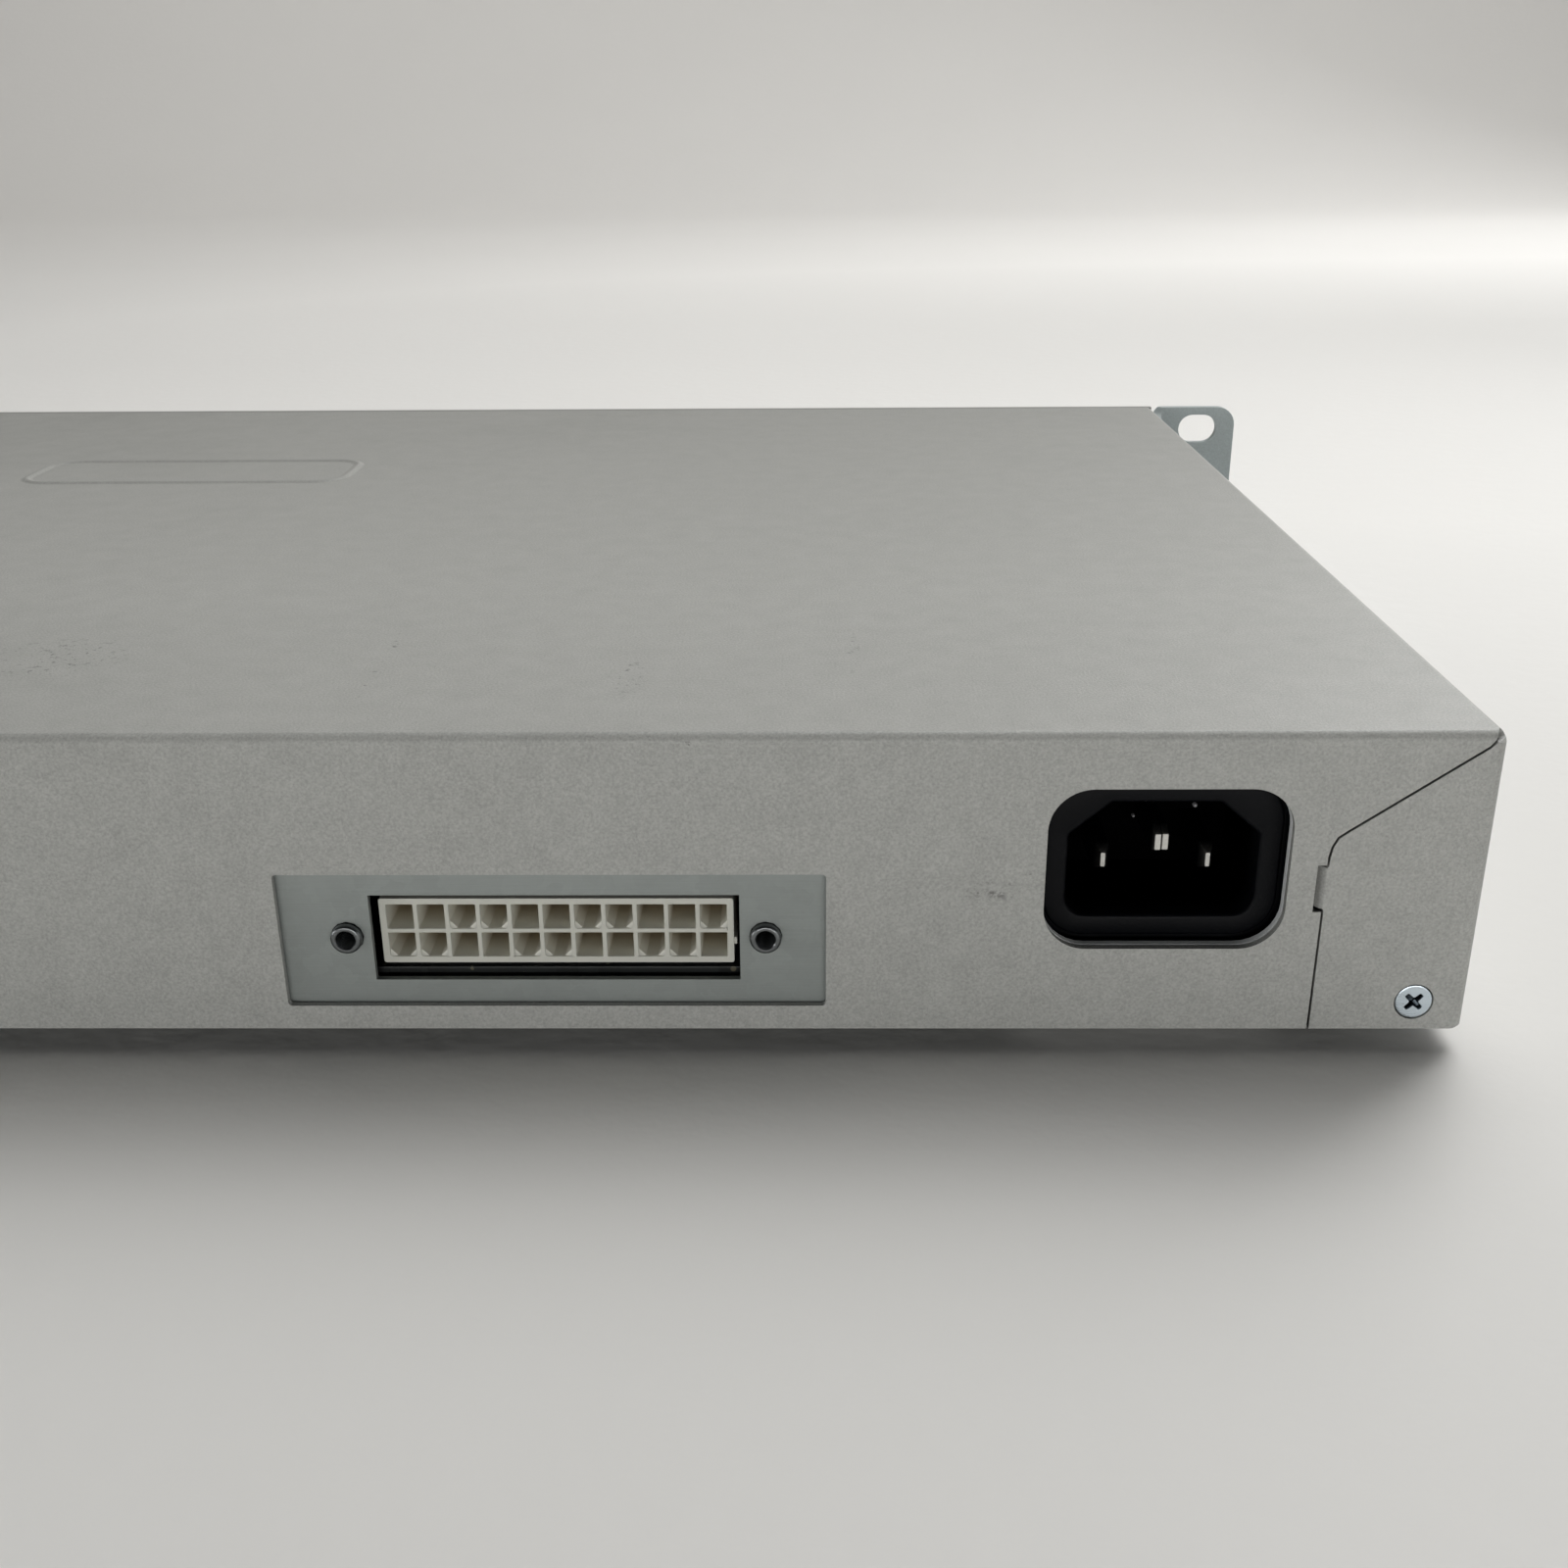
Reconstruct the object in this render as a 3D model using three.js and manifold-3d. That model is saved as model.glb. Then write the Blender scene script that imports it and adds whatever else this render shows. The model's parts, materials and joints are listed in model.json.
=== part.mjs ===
// One-unit rack appliance: a painted wrap-round cover over a bare galvanised tray, with its ports,
// boards and fans.
// Millimetres, +Z up. The front with the ports faces -Y, the rear with the mains inlet faces +Y.
// Inside this file Y 0 is the outer face of the rear panel and Z 0 is the underside of the tray.
// The last lines put the finished chassis over the origin, standing on its feet.
import * as THREE from 'three';
import { mergeVertices } from 'three/addons/utils/BufferGeometryUtils.js';
import Module from 'manifold-3d';

const wasm = await Module();
wasm.setup();

// Driving dimensions
const bodyWidth = 440;
const bodyDepth = 235.6;
const bodyHeight = 42.5;
const sheet = 1;
const bendRadius = 1.3;
const gap = 0.3;
const fasciaThick = 1.5;
const footHeight = 3;
const rackWidth = 482.6;
const rackHolePitch = 31.75;

// Places that follow from them
const side = bodyWidth / 2;
const frontFace = -bodyDepth - gap - fasciaThick;
const trayRear = -sheet - gap;
const traySide = side - sheet - gap;
const trayFront = -bodyDepth + gap;
const trayTop = bodyHeight - sheet - gap;
const boardUnder = 6;
const boardThick = 1.6;
const boardTop = boardUnder + boardThick;

// Rear panel features, x and z of their centres
const inlet = { x: -178.7, z: 23.5, width: 31.5, height: 22.8, corner: 5.8, face: -3.4, depth: 20.6 };
const cavity = { width: 24.9, height: 16.3, chamferX: 5.4, chamferZ: 4.6, corner: 2.7, depth: 17 };
const backup = { x: -98.5, z: 13.3, columns: 11, pitch: 4.2, wall: 1.2, cell: 3.5, face: -3, depth: 13 };
const backupWindow = { left: -134.5, right: -62, low: 3.5, high: 23 };
const shellGap = { beside: 0.85, under: 1.7, above: 1.3 };
const jackNutX = [-126.5, -70.7];
const jackNutZ = 13.3;
const cornerScrew = { inset: 7, z: 4.1 };

// Front panel features, x along the front
const jackBlocks = [
  { name: 'console_jack', x: -62, ports: 1 },
  { name: 'management_jack', x: -44, ports: 1 },
  { name: 'lan_jack_block_1', x: 8, ports: 4 },
  { name: 'lan_jack_block_2', x: 74, ports: 4 },
];
const jack = { pitch: 15.6, height: 13.4, depth: 21, mouth: 11.9, mouthHeight: 8.4, reach: 12.5 };
const cageX = [123, 140];
const cage = { width: 14.8, height: 10.2, depth: 47, wall: 0.6 };
const usb = { x: -82, width: 14.4, height: 7.4, depth: 17 };
const lightX = [-124, -118, -112, -106];
const lightZ = [12, 18];
const reset = { x: -96, z: 12, radius: 2, travel: 0.6 };
const frontVentX = [-205, -199, -193, -187, -181, -175, -169, -163, 166, 172, 178, 184, 190, 196, 202];

// Fans and side vents
const fan = { size: 38, thick: 20, bore: 18.1, hub: 9.2, blade: 17.4, y: [-48, -92], z: 20.8 };
const exhaustVentY = { from: -116, count: 16, pitch: 6 };
const intakeVentY = { from: -206, count: 16, pitch: 6 };
const ventSlot = { width: 3.2, low: 9, high: 33 };

const finishes = {
  paint: { color: 0xa9aba7, roughness: 0.55, metalness: 0.1 },
  galvanised: { color: 0x8f9698, roughness: 0.45, metalness: 0.8 },
  zinc: { color: 0xb4bdc4, roughness: 0.3, metalness: 0.9 },
  tin: { color: 0xc9c6bb, roughness: 0.3, metalness: 0.9 },
  brightSteel: { color: 0xb9bcbc, roughness: 0.28, metalness: 0.95 },
  blackPlastic: { color: 0x17171a, roughness: 0.5, metalness: 0 },
  ivory: { color: 0xcdc6b2, roughness: 0.5, metalness: 0 },
  clear: { color: 0xe6ecec, roughness: 0.15, metalness: 0 },
  rubber: { color: 0x1c1c1c, roughness: 0.85, metalness: 0 },
  board: { color: 0x1e5a34, roughness: 0.5, metalness: 0 },
  package: { color: 0x26282b, roughness: 0.4, metalness: 0 },
  aluminium: { color: 0xa7abad, roughness: 0.4, metalness: 0.9 },
  ferrite: { color: 0x3b3632, roughness: 0.7, metalness: 0 },
  sleeve: { color: 0x23304e, roughness: 0.35, metalness: 0 },
  wire: { color: 0x6e3b26, roughness: 0.5, metalness: 0 },
};

const chassis = new THREE.Group();

// Solids: a three.js geometry becomes a manifold, manifolds are joined and cut, and the result
// becomes a mesh again

function solid(geometry) {
  geometry.deleteAttribute('normal');
  geometry.deleteAttribute('uv');
  const merged = mergeVertices(geometry, 1e-4);
  const corners = merged.index.array;
  const kept = [];
  for (let i = 0; i < corners.length; i += 3) {
    const [a, b, c] = [corners[i], corners[i + 1], corners[i + 2]];
    if (a !== b && b !== c && c !== a) kept.push(a, b, c);
  }
  const vertProperties = new Float32Array(merged.attributes.position.array);
  return new wasm.Manifold(new wasm.Mesh({ numProp: 3, vertProperties, triVerts: new Uint32Array(kept) }));
}

function join(...solids) {
  return solids.flat().reduce((body, next) => body.add(next));
}

function cut(body, ...tools) {
  return tools.flat().reduce((rest, tool) => rest.subtract(tool), body);
}

function addPart(name, body, finish, place = [0, 0, 0]) {
  const { vertProperties, triVerts } = body.getMesh();
  const geometry = new THREE.BufferGeometry();
  geometry.setAttribute('position', new THREE.BufferAttribute(new Float32Array(vertProperties), 3));
  geometry.setIndex(new THREE.BufferAttribute(new Uint32Array(triVerts), 1));
  const mesh = new THREE.Mesh(geometry, new THREE.MeshStandardMaterial(finishes[finish]));
  mesh.name = name;
  mesh.position.set(...place);
  chassis.add(mesh);
}

function box(x0, x1, y0, y1, z0, z1) {
  const geometry = new THREE.BoxGeometry(x1 - x0, y1 - y0, z1 - z0);
  geometry.translate((x0 + x1) / 2, (y0 + y1) / 2, (z0 + z1) / 2);
  return solid(geometry);
}

// A round bar along one axis; a and b are its centre on the other two axes, in X, Y, Z order
function rod(axis, radius, from, to, a, b, sides = 16, farRadius = radius) {
  const geometry = new THREE.CylinderGeometry(farRadius, radius, to - from, sides);
  const middle = (from + to) / 2;
  if (axis === 'x') {
    geometry.rotateZ(-Math.PI / 2);
    geometry.translate(middle, a, b);
  } else if (axis === 'y') {
    geometry.translate(a, middle, b);
  } else {
    geometry.rotateX(Math.PI / 2);
    geometry.translate(a, b, middle);
  }
  return solid(geometry);
}

// A shape drawn square to one axis and carried along it; the drawing's own x and y are the other two axes
function prism(axis, shape, from, to, curveSegments = 4) {
  const geometry = new THREE.ExtrudeGeometry(shape, { depth: to - from, bevelEnabled: false, curveSegments });
  const x = new THREE.Vector3(1, 0, 0);
  const y = new THREE.Vector3(0, 1, 0);
  const z = new THREE.Vector3(0, 0, 1);
  if (axis === 'x') {
    geometry.applyMatrix4(new THREE.Matrix4().makeBasis(y, z, x).setPosition(from, 0, 0));
  } else if (axis === 'y') {
    geometry.applyMatrix4(new THREE.Matrix4().makeBasis(x, z, y.clone().negate()).setPosition(0, to, 0));
  } else {
    geometry.translate(0, 0, from);
  }
  return solid(geometry);
}

function outline(points) {
  return new THREE.Shape(points.map(([a, b]) => new THREE.Vector2(a, b)));
}

function roundedRectangle(a, b, width, height, radius) {
  const [left, right] = [a - width / 2, a + width / 2];
  const [low, high] = [b - height / 2, b + height / 2];
  const shape = new THREE.Shape();
  shape.moveTo(left + radius, low);
  shape.absarc(right - radius, low + radius, radius, -Math.PI / 2, 0);
  shape.absarc(right - radius, high - radius, radius, 0, Math.PI / 2);
  shape.absarc(left + radius, high - radius, radius, Math.PI / 2, Math.PI);
  shape.absarc(left + radius, low + radius, radius, Math.PI, 1.5 * Math.PI);
  return shape;
}

// A section carried along a smooth line through the points
function sweep(section, points, steps) {
  const path = new THREE.CatmullRomCurve3(points.map((p) => new THREE.Vector3(...p)));
  return solid(new THREE.ExtrudeGeometry(section, { steps, curveSegments: 3, extrudePath: path }));
}

// A countersunk screw driven along -Y from its flat head at y 0, moved and turned by the caller
function countersunkScrew(length, recessed) {
  const body = join(rod('y', 1.5, -1.1, 0, 0, 0, 14, 2.55), rod('y', 1.5, -length, -1, 0, 0, 14));
  if (!recessed) return body;
  const bar = box(-1.4, 1.4, -0.8, 0.1, -0.35, 0.35);
  return cut(body, bar.rotate([0, 45, 0]), bar.rotate([0, -45, 0]));
}

// Painted cover: top, rear panel and both sides, folded from one sheet, open underneath and in front

// The seam between the rear panel and a corner flange: a slit that runs down from the corner, round a
// shoulder, past the notch of the lug and down to the bottom edge. Measured inwards from the cover's side.
const seamLine = [
  [1.1, 42], [2.3, 40.5], [18.6, 29], [19.8, 28.1],
  [20.4, 26.8], [20.65, 25.4], [20.7, 24.2], [20.7, -1],
];
const lugNotch = { from: 20.7, to: 22, low: 17.5, high: 24.2 };
const lugReach = 23.8;
const slit = 0.3;

function seamTool(sign) {
  const points = seamLine.map(([inset, z]) => new THREE.Vector2(side - inset, z));
  const shift = (p, i, by) => {
    const before = points[Math.max(i - 1, 0)];
    const after = points[Math.min(i + 1, points.length - 1)];
    const along = after.clone().sub(before).normalize();
    return [sign * (p.x - along.y * by), p.y + along.x * by];
  };
  const near = points.map((p, i) => shift(p, i, slit / 2));
  const far = points.map((p, i) => shift(p, i, -slit / 2)).reverse();
  const notch = [[side - lugNotch.to, lugNotch.low], [side - lugNotch.from, lugNotch.high]];
  const xs = notch.map(([x]) => sign * x).sort((a, b) => a - b);
  return [
    prism('y', outline([...near, ...far]), -sheet - 1, 1),
    box(xs[0], xs[1], -sheet - 1, 1, lugNotch.low, lugNotch.high),
  ];
}

// The lug on the flange's edge steps back behind the rear panel and holds it in line
function coverLug(sign) {
  const inset = [
    [19.6, 0], [20.4, 0], [21.7, -1.4], [lugReach, -1.4],
    [lugReach, -2.4], [21.2, -2.4], [19.9, -1], [19.6, -1],
  ];
  const points = inset.map(([from, y]) => [sign * (side - from), y]);
  return prism('z', outline(points), lugNotch.low + 0.4, lugNotch.high - gap);
}

function sideVents(vents, sign) {
  const slots = [];
  for (let i = 0; i < vents.count; i += 1) {
    const y = vents.from + i * vents.pitch;
    const reach = [sign * (side - 2 * sheet), sign * (side + 1)].sort((a, b) => a - b);
    slots.push(box(...reach, y - ventSlot.width / 2, y + ventSlot.width / 2, ventSlot.low, ventSlot.high));
  }
  return slots;
}

const sideScrewY = [-25, -196];
const sideScrewZ = 6.5;
const earScrewY = [-226, -207];
const earScrewZ = 21;

function makeTopCover() {
  const across = new THREE.Shape();
  across.moveTo(-side, 0);
  across.lineTo(side, 0);
  across.absarc(side - bendRadius, bodyHeight - bendRadius, bendRadius, 0, Math.PI / 2);
  across.absarc(bendRadius - side, bodyHeight - bendRadius, bendRadius, Math.PI / 2, Math.PI);
  const along = new THREE.Shape();
  along.moveTo(-bodyDepth, 0);
  along.lineTo(0, 0);
  along.absarc(-bendRadius, bodyHeight - bendRadius, bendRadius, 0, Math.PI / 2);
  along.lineTo(-bodyDepth, bodyHeight);
  const plan = new THREE.Shape();
  plan.moveTo(-side, -bodyDepth);
  plan.lineTo(side, -bodyDepth);
  plan.absarc(side - bendRadius, -bendRadius, bendRadius, 0, Math.PI / 2);
  plan.absarc(bendRadius - side, -bendRadius, bendRadius, Math.PI / 2, Math.PI);
  let shell = prism('y', across, -bodyDepth, 0, 2);
  shell = shell.intersect(prism('x', along, -side, side, 2)).intersect(prism('z', plan, 0, bodyHeight, 2));
  shell = cut(shell, box(sheet - side, side - sheet, -bodyDepth - 1, -sheet, -1, bodyHeight - sheet));
  const tools = [
    box(backupWindow.left, backupWindow.right, -2 * sheet, 1, backupWindow.low, backupWindow.high),
    prism('y', roundedRectangle(inlet.x, inlet.z, inlet.width, inlet.height, inlet.corner), -2 * sheet, 1),
    sideVents(exhaustVentY, 1),
    sideVents(intakeVentY, -1),
  ];
  for (const sign of [-1, 1]) {
    const cornerRelief = new THREE.SphereGeometry(1.1, 10, 8);
    cornerRelief.translate(sign * (side - 0.7), -0.7, bodyHeight - 0.7);
    tools.push(solid(cornerRelief), seamTool(sign));
    tools.push(rod('y', 2.85, -2 * sheet, 1, sign * (side - cornerScrew.inset), cornerScrew.z));
    const reach = [sign * (side - 2 * sheet), sign * (side + 1)].sort((a, b) => a - b);
    for (const y of sideScrewY) tools.push(rod('x', 2.85, ...reach, y, sideScrewZ));
    for (const y of earScrewY) tools.push(rod('x', 1.9, ...reach, y, earScrewZ, 12));
  }
  shell = cut(shell, tools.flat());
  return join(shell, coverLug(-1), coverLug(1));
}

// Galvanised tray: floor, rear wall, front wall, low side flanges and the wall that carries the fans

function portCuts(from, to, room) {
  const tools = [];
  const jackLow = boardTop + gap;
  for (const { x, ports } of jackBlocks) {
    const half = (jack.pitch * ports) / 2 + room;
    tools.push(box(x - half, x + half, from, to, jackLow - room, jackLow + jack.height + room));
  }
  for (const x of cageX) {
    const half = cage.width / 2 + room;
    tools.push(box(x - half, x + half, from, to, jackLow - room, jackLow + cage.height + room));
  }
  const usbHalf = usb.width / 2 + room;
  tools.push(box(usb.x - usbHalf, usb.x + usbHalf, from, to, jackLow - room, jackLow + usb.height + room));
  for (const x of lightX) {
    for (const z of lightZ) tools.push(rod('y', 1 + room, from, to, x, z, 8));
  }
  tools.push(rod('y', reset.radius + room, from, to, reset.x, reset.z));
  for (const x of frontVentX) tools.push(box(x - 1.6, x + 1.6, from, to, 9, 33));
  return tools;
}

const frontScrewX = [-212, 212];
const frontScrewZ = 37.5;

function makeBaseTray() {
  const parts = [
    box(-traySide, traySide, trayFront, trayRear, 0, sheet),
    box(-traySide, traySide, trayRear - sheet, trayRear, 0, trayTop),
    box(-traySide, traySide, trayFront, trayFront + sheet, 0, trayTop),
    box(-traySide, sheet - traySide, trayFront, trayRear, 0, 12),
    box(traySide - sheet, traySide, trayFront, trayRear, 0, 12),
    box(traySide - sheet, traySide, -118, -22, 0, trayTop),
  ];
  const windowHalf = (backup.columns * backup.pitch + backup.wall) / 2 + shellGap.beside;
  const rowsHalf = backup.pitch + backup.wall / 2;
  const [low, high] = [backup.z - rowsHalf - shellGap.under, backup.z + rowsHalf + shellGap.above];
  const tools = [
    prism('y', roundedRectangle(inlet.x, inlet.z, inlet.width, inlet.height, inlet.corner), -4, 0),
    box(backup.x - windowHalf, backup.x + windowHalf, -4, 0, low, high),
    portCuts(trayFront - 1, trayFront + sheet + 1, 0.4),
  ];
  for (const x of jackNutX) tools.push(rod('y', 2.2, -4, 0, x, jackNutZ, 12));
  for (const sign of [-1, 1]) {
    tools.push(rod('y', 1.8, -4, 0, sign * (side - cornerScrew.inset), cornerScrew.z, 12));
    const lugSlot = [sign * (side - lugReach - 0.5), sign * (side - 18.6)].sort((a, b) => a - b);
    tools.push(box(...lugSlot, -4, 0, lugNotch.low - 0.6, lugNotch.high + 0.6));
    const reach = [sign * (side - 4), sign * side].sort((a, b) => a - b);
    for (const y of sideScrewY) tools.push(rod('x', 1.8, ...reach, y, sideScrewZ, 12));
  }
  for (const y of fan.y) {
    tools.push(rod('x', fan.bore - 0.6, side - 4, side, y, fan.z, 28));
    for (const [dy, dz] of fanCorners) tools.push(rod('x', 1.75, side - 4, side, y + dy, fan.z + dz, 10));
  }
  for (const x of frontScrewX) tools.push(rod('y', 1.8, trayFront - 1, trayFront + 2, x, frontScrewZ, 12));
  return cut(join(parts), tools.flat());
}

function makeFrontPanel() {
  const back = -bodyDepth - gap;
  const tools = [portCuts(frontFace - 1, back + 1, 0.4)];
  for (const x of frontScrewX) tools.push(rod('y', 2.85, frontFace - 1, back + 1, x, frontScrewZ));
  return cut(box(-side, side, frontFace, back, 0, bodyHeight), tools.flat());
}

// Rack ear: a flange with two oblong slots, and a leg along the side of the body
const ear = { thick: 2, leg: 40, legLow: 3, legHigh: 39.5, corner: 4.5 };
const earSlot = { x: 232, width: 9.6, height: 7, flat: 0.1 };

function makeRackEar(sign) {
  const [inner, outer] = [side + gap, rackWidth / 2];
  const flange = new THREE.Shape();
  flange.moveTo(inner, 0);
  flange.lineTo(outer - ear.corner, 0);
  flange.absarc(outer - ear.corner, ear.corner, ear.corner, -Math.PI / 2, 0);
  flange.absarc(outer - ear.corner, bodyHeight - ear.corner, ear.corner, 0, Math.PI / 2);
  flange.lineTo(inner, bodyHeight);
  const legRear = frontFace + ear.leg;
  const body = join(
    prism('y', flange, frontFace, frontFace + ear.thick),
    box(inner, inner + ear.thick, frontFace, legRear, ear.legLow, ear.legHigh),
  );
  const tools = [];
  for (const lift of [-rackHolePitch / 2, rackHolePitch / 2]) {
    const z = bodyHeight / 2 + lift;
    const { x, width, height, flat } = earSlot;
    const slot = roundedRectangle(x, z, width, height, (height - flat) / 2);
    tools.push(prism('y', slot, frontFace - 1, frontFace + ear.thick + 1));
  }
  for (const y of earScrewY) tools.push(rod('x', 1.9, side, side + 4, y, earScrewZ, 12));
  const right = cut(body, tools);
  return sign > 0 ? right : right.mirror([1, 0, 0]);
}

// Ear screw: a pan head against the ear's leg and a shank through the side of the cover, along -X from x 0
function makeEarScrew() {
  return join(rod('x', 2.4, 0, 1.8, 0, 0, 14, 3), rod('x', 1.5, -9, 0.5, 0, 0, 12)).mirror([1, 0, 0]);
}

// Mains inlet: a moulded housing with three blade pins. Its flange lies behind the tray, and the face stands
// a little forward of the flange, inside the cut-out.
const inletFace = { room: 0.25, step: 0.4, flangeThick: 3, flangeOver: 1.5 };

function cavityOutline() {
  const { corner, chamferX, chamferZ } = cavity;
  const [left, right] = [inlet.x - cavity.width / 2, inlet.x + cavity.width / 2];
  const [low, high] = [inlet.z - cavity.height / 2, inlet.z + cavity.height / 2];
  const shape = new THREE.Shape();
  shape.moveTo(left + corner, low);
  shape.absarc(right - corner, low + corner, corner, -Math.PI / 2, 0);
  shape.lineTo(right, high - chamferZ);
  shape.lineTo(right - chamferX, high);
  shape.lineTo(left + chamferX, high);
  shape.lineTo(left, high - chamferZ);
  shape.absarc(left + corner, low + corner, corner, Math.PI, 1.5 * Math.PI);
  return shape;
}

const pinPlaces = {
  inlet_pin_line: [inlet.x + 7, inlet.z - 2],
  inlet_pin_neutral: [inlet.x - 7, inlet.z - 2],
  inlet_pin_earth: [inlet.x, inlet.z + 2],
};
const pinTip = inlet.face - 4.3;
const pinTail = inlet.face - inlet.depth - 7;

function makeInletHousing() {
  const back = inlet.face - inlet.depth;
  const aroundInlet = (width, height, corner) => roundedRectangle(inlet.x, inlet.z, width, height, corner);
  const { room, step, flangeThick, flangeOver } = inletFace;
  const face = aroundInlet(inlet.width - 2 * room, inlet.height - 2 * room, inlet.corner - room);
  const flange = aroundInlet(inlet.width + 2 * flangeOver, inlet.height + 2 * flangeOver, inlet.corner + 1);
  const barrel = aroundInlet(cavity.width + 2.4, cavity.height + 2.6, 3);
  const body = join(
    prism('y', face, inlet.face - step - 0.1, inlet.face, 4),
    prism('y', flange, inlet.face - flangeThick, inlet.face - step, 4),
    prism('y', barrel, back, inlet.face - 2, 4),
  );
  const tools = [prism('y', cavityOutline(), inlet.face - cavity.depth, inlet.face + 1, 4)];
  for (const [x, z] of Object.values(pinPlaces)) {
    tools.push(box(x - 1.35, x + 1.35, back - 1, inlet.face - cavity.depth + 1, z - 2.35, z + 2.35));
  }
  return cut(body, tools);
}

// Backup supply connector: two rows of deep cells, some with two of their corners filled in, and behind it
// the carrier that holds one blade terminal for each cell

const filledTop = [2, 3, 6, 7, 10];
const filledLow = [0, 1, 4, 5, 8, 9];
const filledCorner = 0.9;

function cellCentre(column, row) {
  const half = (backup.columns - 1) / 2;
  return [backup.x + (half - column) * -backup.pitch, backup.z + (row - 0.5) * backup.pitch];
}

function makeBackupShell() {
  const width = backup.columns * backup.pitch + backup.wall;
  const height = 2 * backup.pitch + backup.wall;
  const back = backup.face - backup.depth;
  const tools = [];
  for (let column = 0; column < backup.columns; column += 1) {
    for (const row of [0, 1]) {
      const [x, z] = cellCentre(backup.columns - 1 - column, row);
      const h = backup.cell / 2;
      const filled = (row ? filledTop : filledLow).includes(column);
      const inner = h - filledCorner;
      const lower = filled ? [[-h, -inner], [-inner, -h], [inner, -h], [h, -inner]] : [[-h, -h], [h, -h]];
      const points = [...lower, [h, h], [-h, h]].map(([a, b]) => [x + a, z + b]);
      tools.push(prism('y', outline(points), back - 1, backup.face + 1));
    }
  }
  const [left, low] = [backup.x - width / 2, backup.z - height / 2];
  return cut(box(left, left + width, back, backup.face, low, low + height), tools);
}

function makeBackupTerminals() {
  const back = backup.face - backup.depth - gap;
  const reach = (backup.columns * backup.pitch) / 2;
  const carrierTop = backup.z + backup.pitch;
  const terminals = [box(backup.x - reach, backup.x + reach, back - 3, back, boardTop + gap, carrierTop)];
  for (let column = 0; column < backup.columns; column += 1) {
    for (const row of [0, 1]) {
      const [x, z] = cellCentre(column, row);
      terminals.push(box(x - 0.5, x + 0.5, back - 1, backup.face - 5, z - 0.5, z + 0.5));
    }
  }
  return join(terminals);
}

function makeJackNut() {
  const collar = rod('y', 2.1, trayRear + gap, trayRear + gap + 0.9, 0, 0, 16, 1.8);
  return cut(join(collar, rod('y', 1.8, -7, -0.9, 0, 0, 16)), rod('y', 1.3, -6, 1, 0, 0, 12));
}

// Front ports, each drawn at x 0 with its mouth at y 0 and its underside at z 0, looking out along -Y

function makeJackBlock(ports) {
  const half = (jack.pitch * ports) / 2;
  const low = 1.2;
  const mouthLow = low + 2;
  const tools = [];
  for (let i = 0; i < ports; i += 1) {
    const x = (i + 0.5) * jack.pitch - half;
    const mouth = [x - jack.mouth / 2, x + jack.mouth / 2];
    tools.push(box(...mouth, -1, jack.reach, mouthLow, mouthLow + jack.mouthHeight));
    tools.push(box(x - 3.1, x + 3.1, -1, jack.reach, low, mouthLow + 1));
  }
  return cut(box(-half, half, 0, jack.depth, 0, jack.height), tools);
}

function makeCage() {
  const body = box(-cage.width / 2, cage.width / 2, 0, cage.depth, 0, cage.height);
  const w = cage.width / 2 - cage.wall;
  return cut(body, box(-w, w, -1, cage.depth - cage.wall, cage.wall, cage.height - cage.wall));
}

function makeUsbPort() {
  const body = box(-usb.width / 2, usb.width / 2, 0, usb.depth, 0, usb.height);
  const room = box(-6.3, 6.3, -1, 11, 1.1, 6.3);
  const tongue = box(-5.6, 5.6, 1, 12, 3.9, 5.7);
  return join(cut(body, room), tongue);
}

function makeLightPipes() {
  const pipes = [];
  for (const x of lightX) {
    for (const z of lightZ) pipes.push(rod('y', 1, frontFace - 0.3, frontFace + 8, x, z, 8));
    pipes.push(box(x - 0.9, x + 0.9, frontFace + 7, frontFace + 9, boardTop + gap, lightZ[1]));
  }
  const [first, last] = [lightX[0], lightX[lightX.length - 1]];
  pipes.push(box(first, last, frontFace + 7, frontFace + 9, 13.5, 15.5));
  return join(pipes);
}

function makeResetButton() {
  return join(
    rod('y', reset.radius, frontFace - 0.8, frontFace + 4.5, reset.x, reset.z, 16),
    rod('y', reset.radius + 0.9, frontFace + 4, frontFace + 5, reset.x, reset.z, 16),
  );
}

function makeResetSwitch() {
  const front = frontFace + 5 + reset.travel + gap;
  return box(reset.x - 3, reset.x + 3, front, front + 4, boardTop + gap, reset.z + 3);
}

// Boards and what stands on them

const mainBoard = { left: -130, right: 152, front: trayFront + sheet + gap, rear: -75 };
const supplyBoard = { left: -212, right: -140, front: -172, rear: -32 };
const backupBoard = { left: -134, right: -63, front: -62, rear: -3.5 };

function plate(board, holes) {
  const tools = holes.map(([x, y]) => rod('z', 1.8, boardUnder - 1, boardTop + 1, x, y, 12));
  return cut(box(board.left, board.right, board.front, board.rear, boardUnder, boardTop), tools);
}

function cornersOf(board, inset) {
  return [
    [board.left + inset, board.front + inset + 20], [board.right - inset, board.front + inset + 20],
    [board.left + inset, board.rear - inset], [board.right - inset, board.rear - inset],
  ];
}

function finnedSink(x, y, width, depth, low, high, fins) {
  const blades = [box(x - width / 2, x + width / 2, y - depth / 2, y + depth / 2, low, low + 3)];
  const pitch = (width - 1.2) / (fins - 1);
  for (let i = 0; i < fins; i += 1) {
    const left = x - width / 2 + i * pitch;
    blades.push(box(left, left + 1.2, y - depth / 2, y + depth / 2, low + 2, high));
  }
  return join(blades);
}

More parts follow.
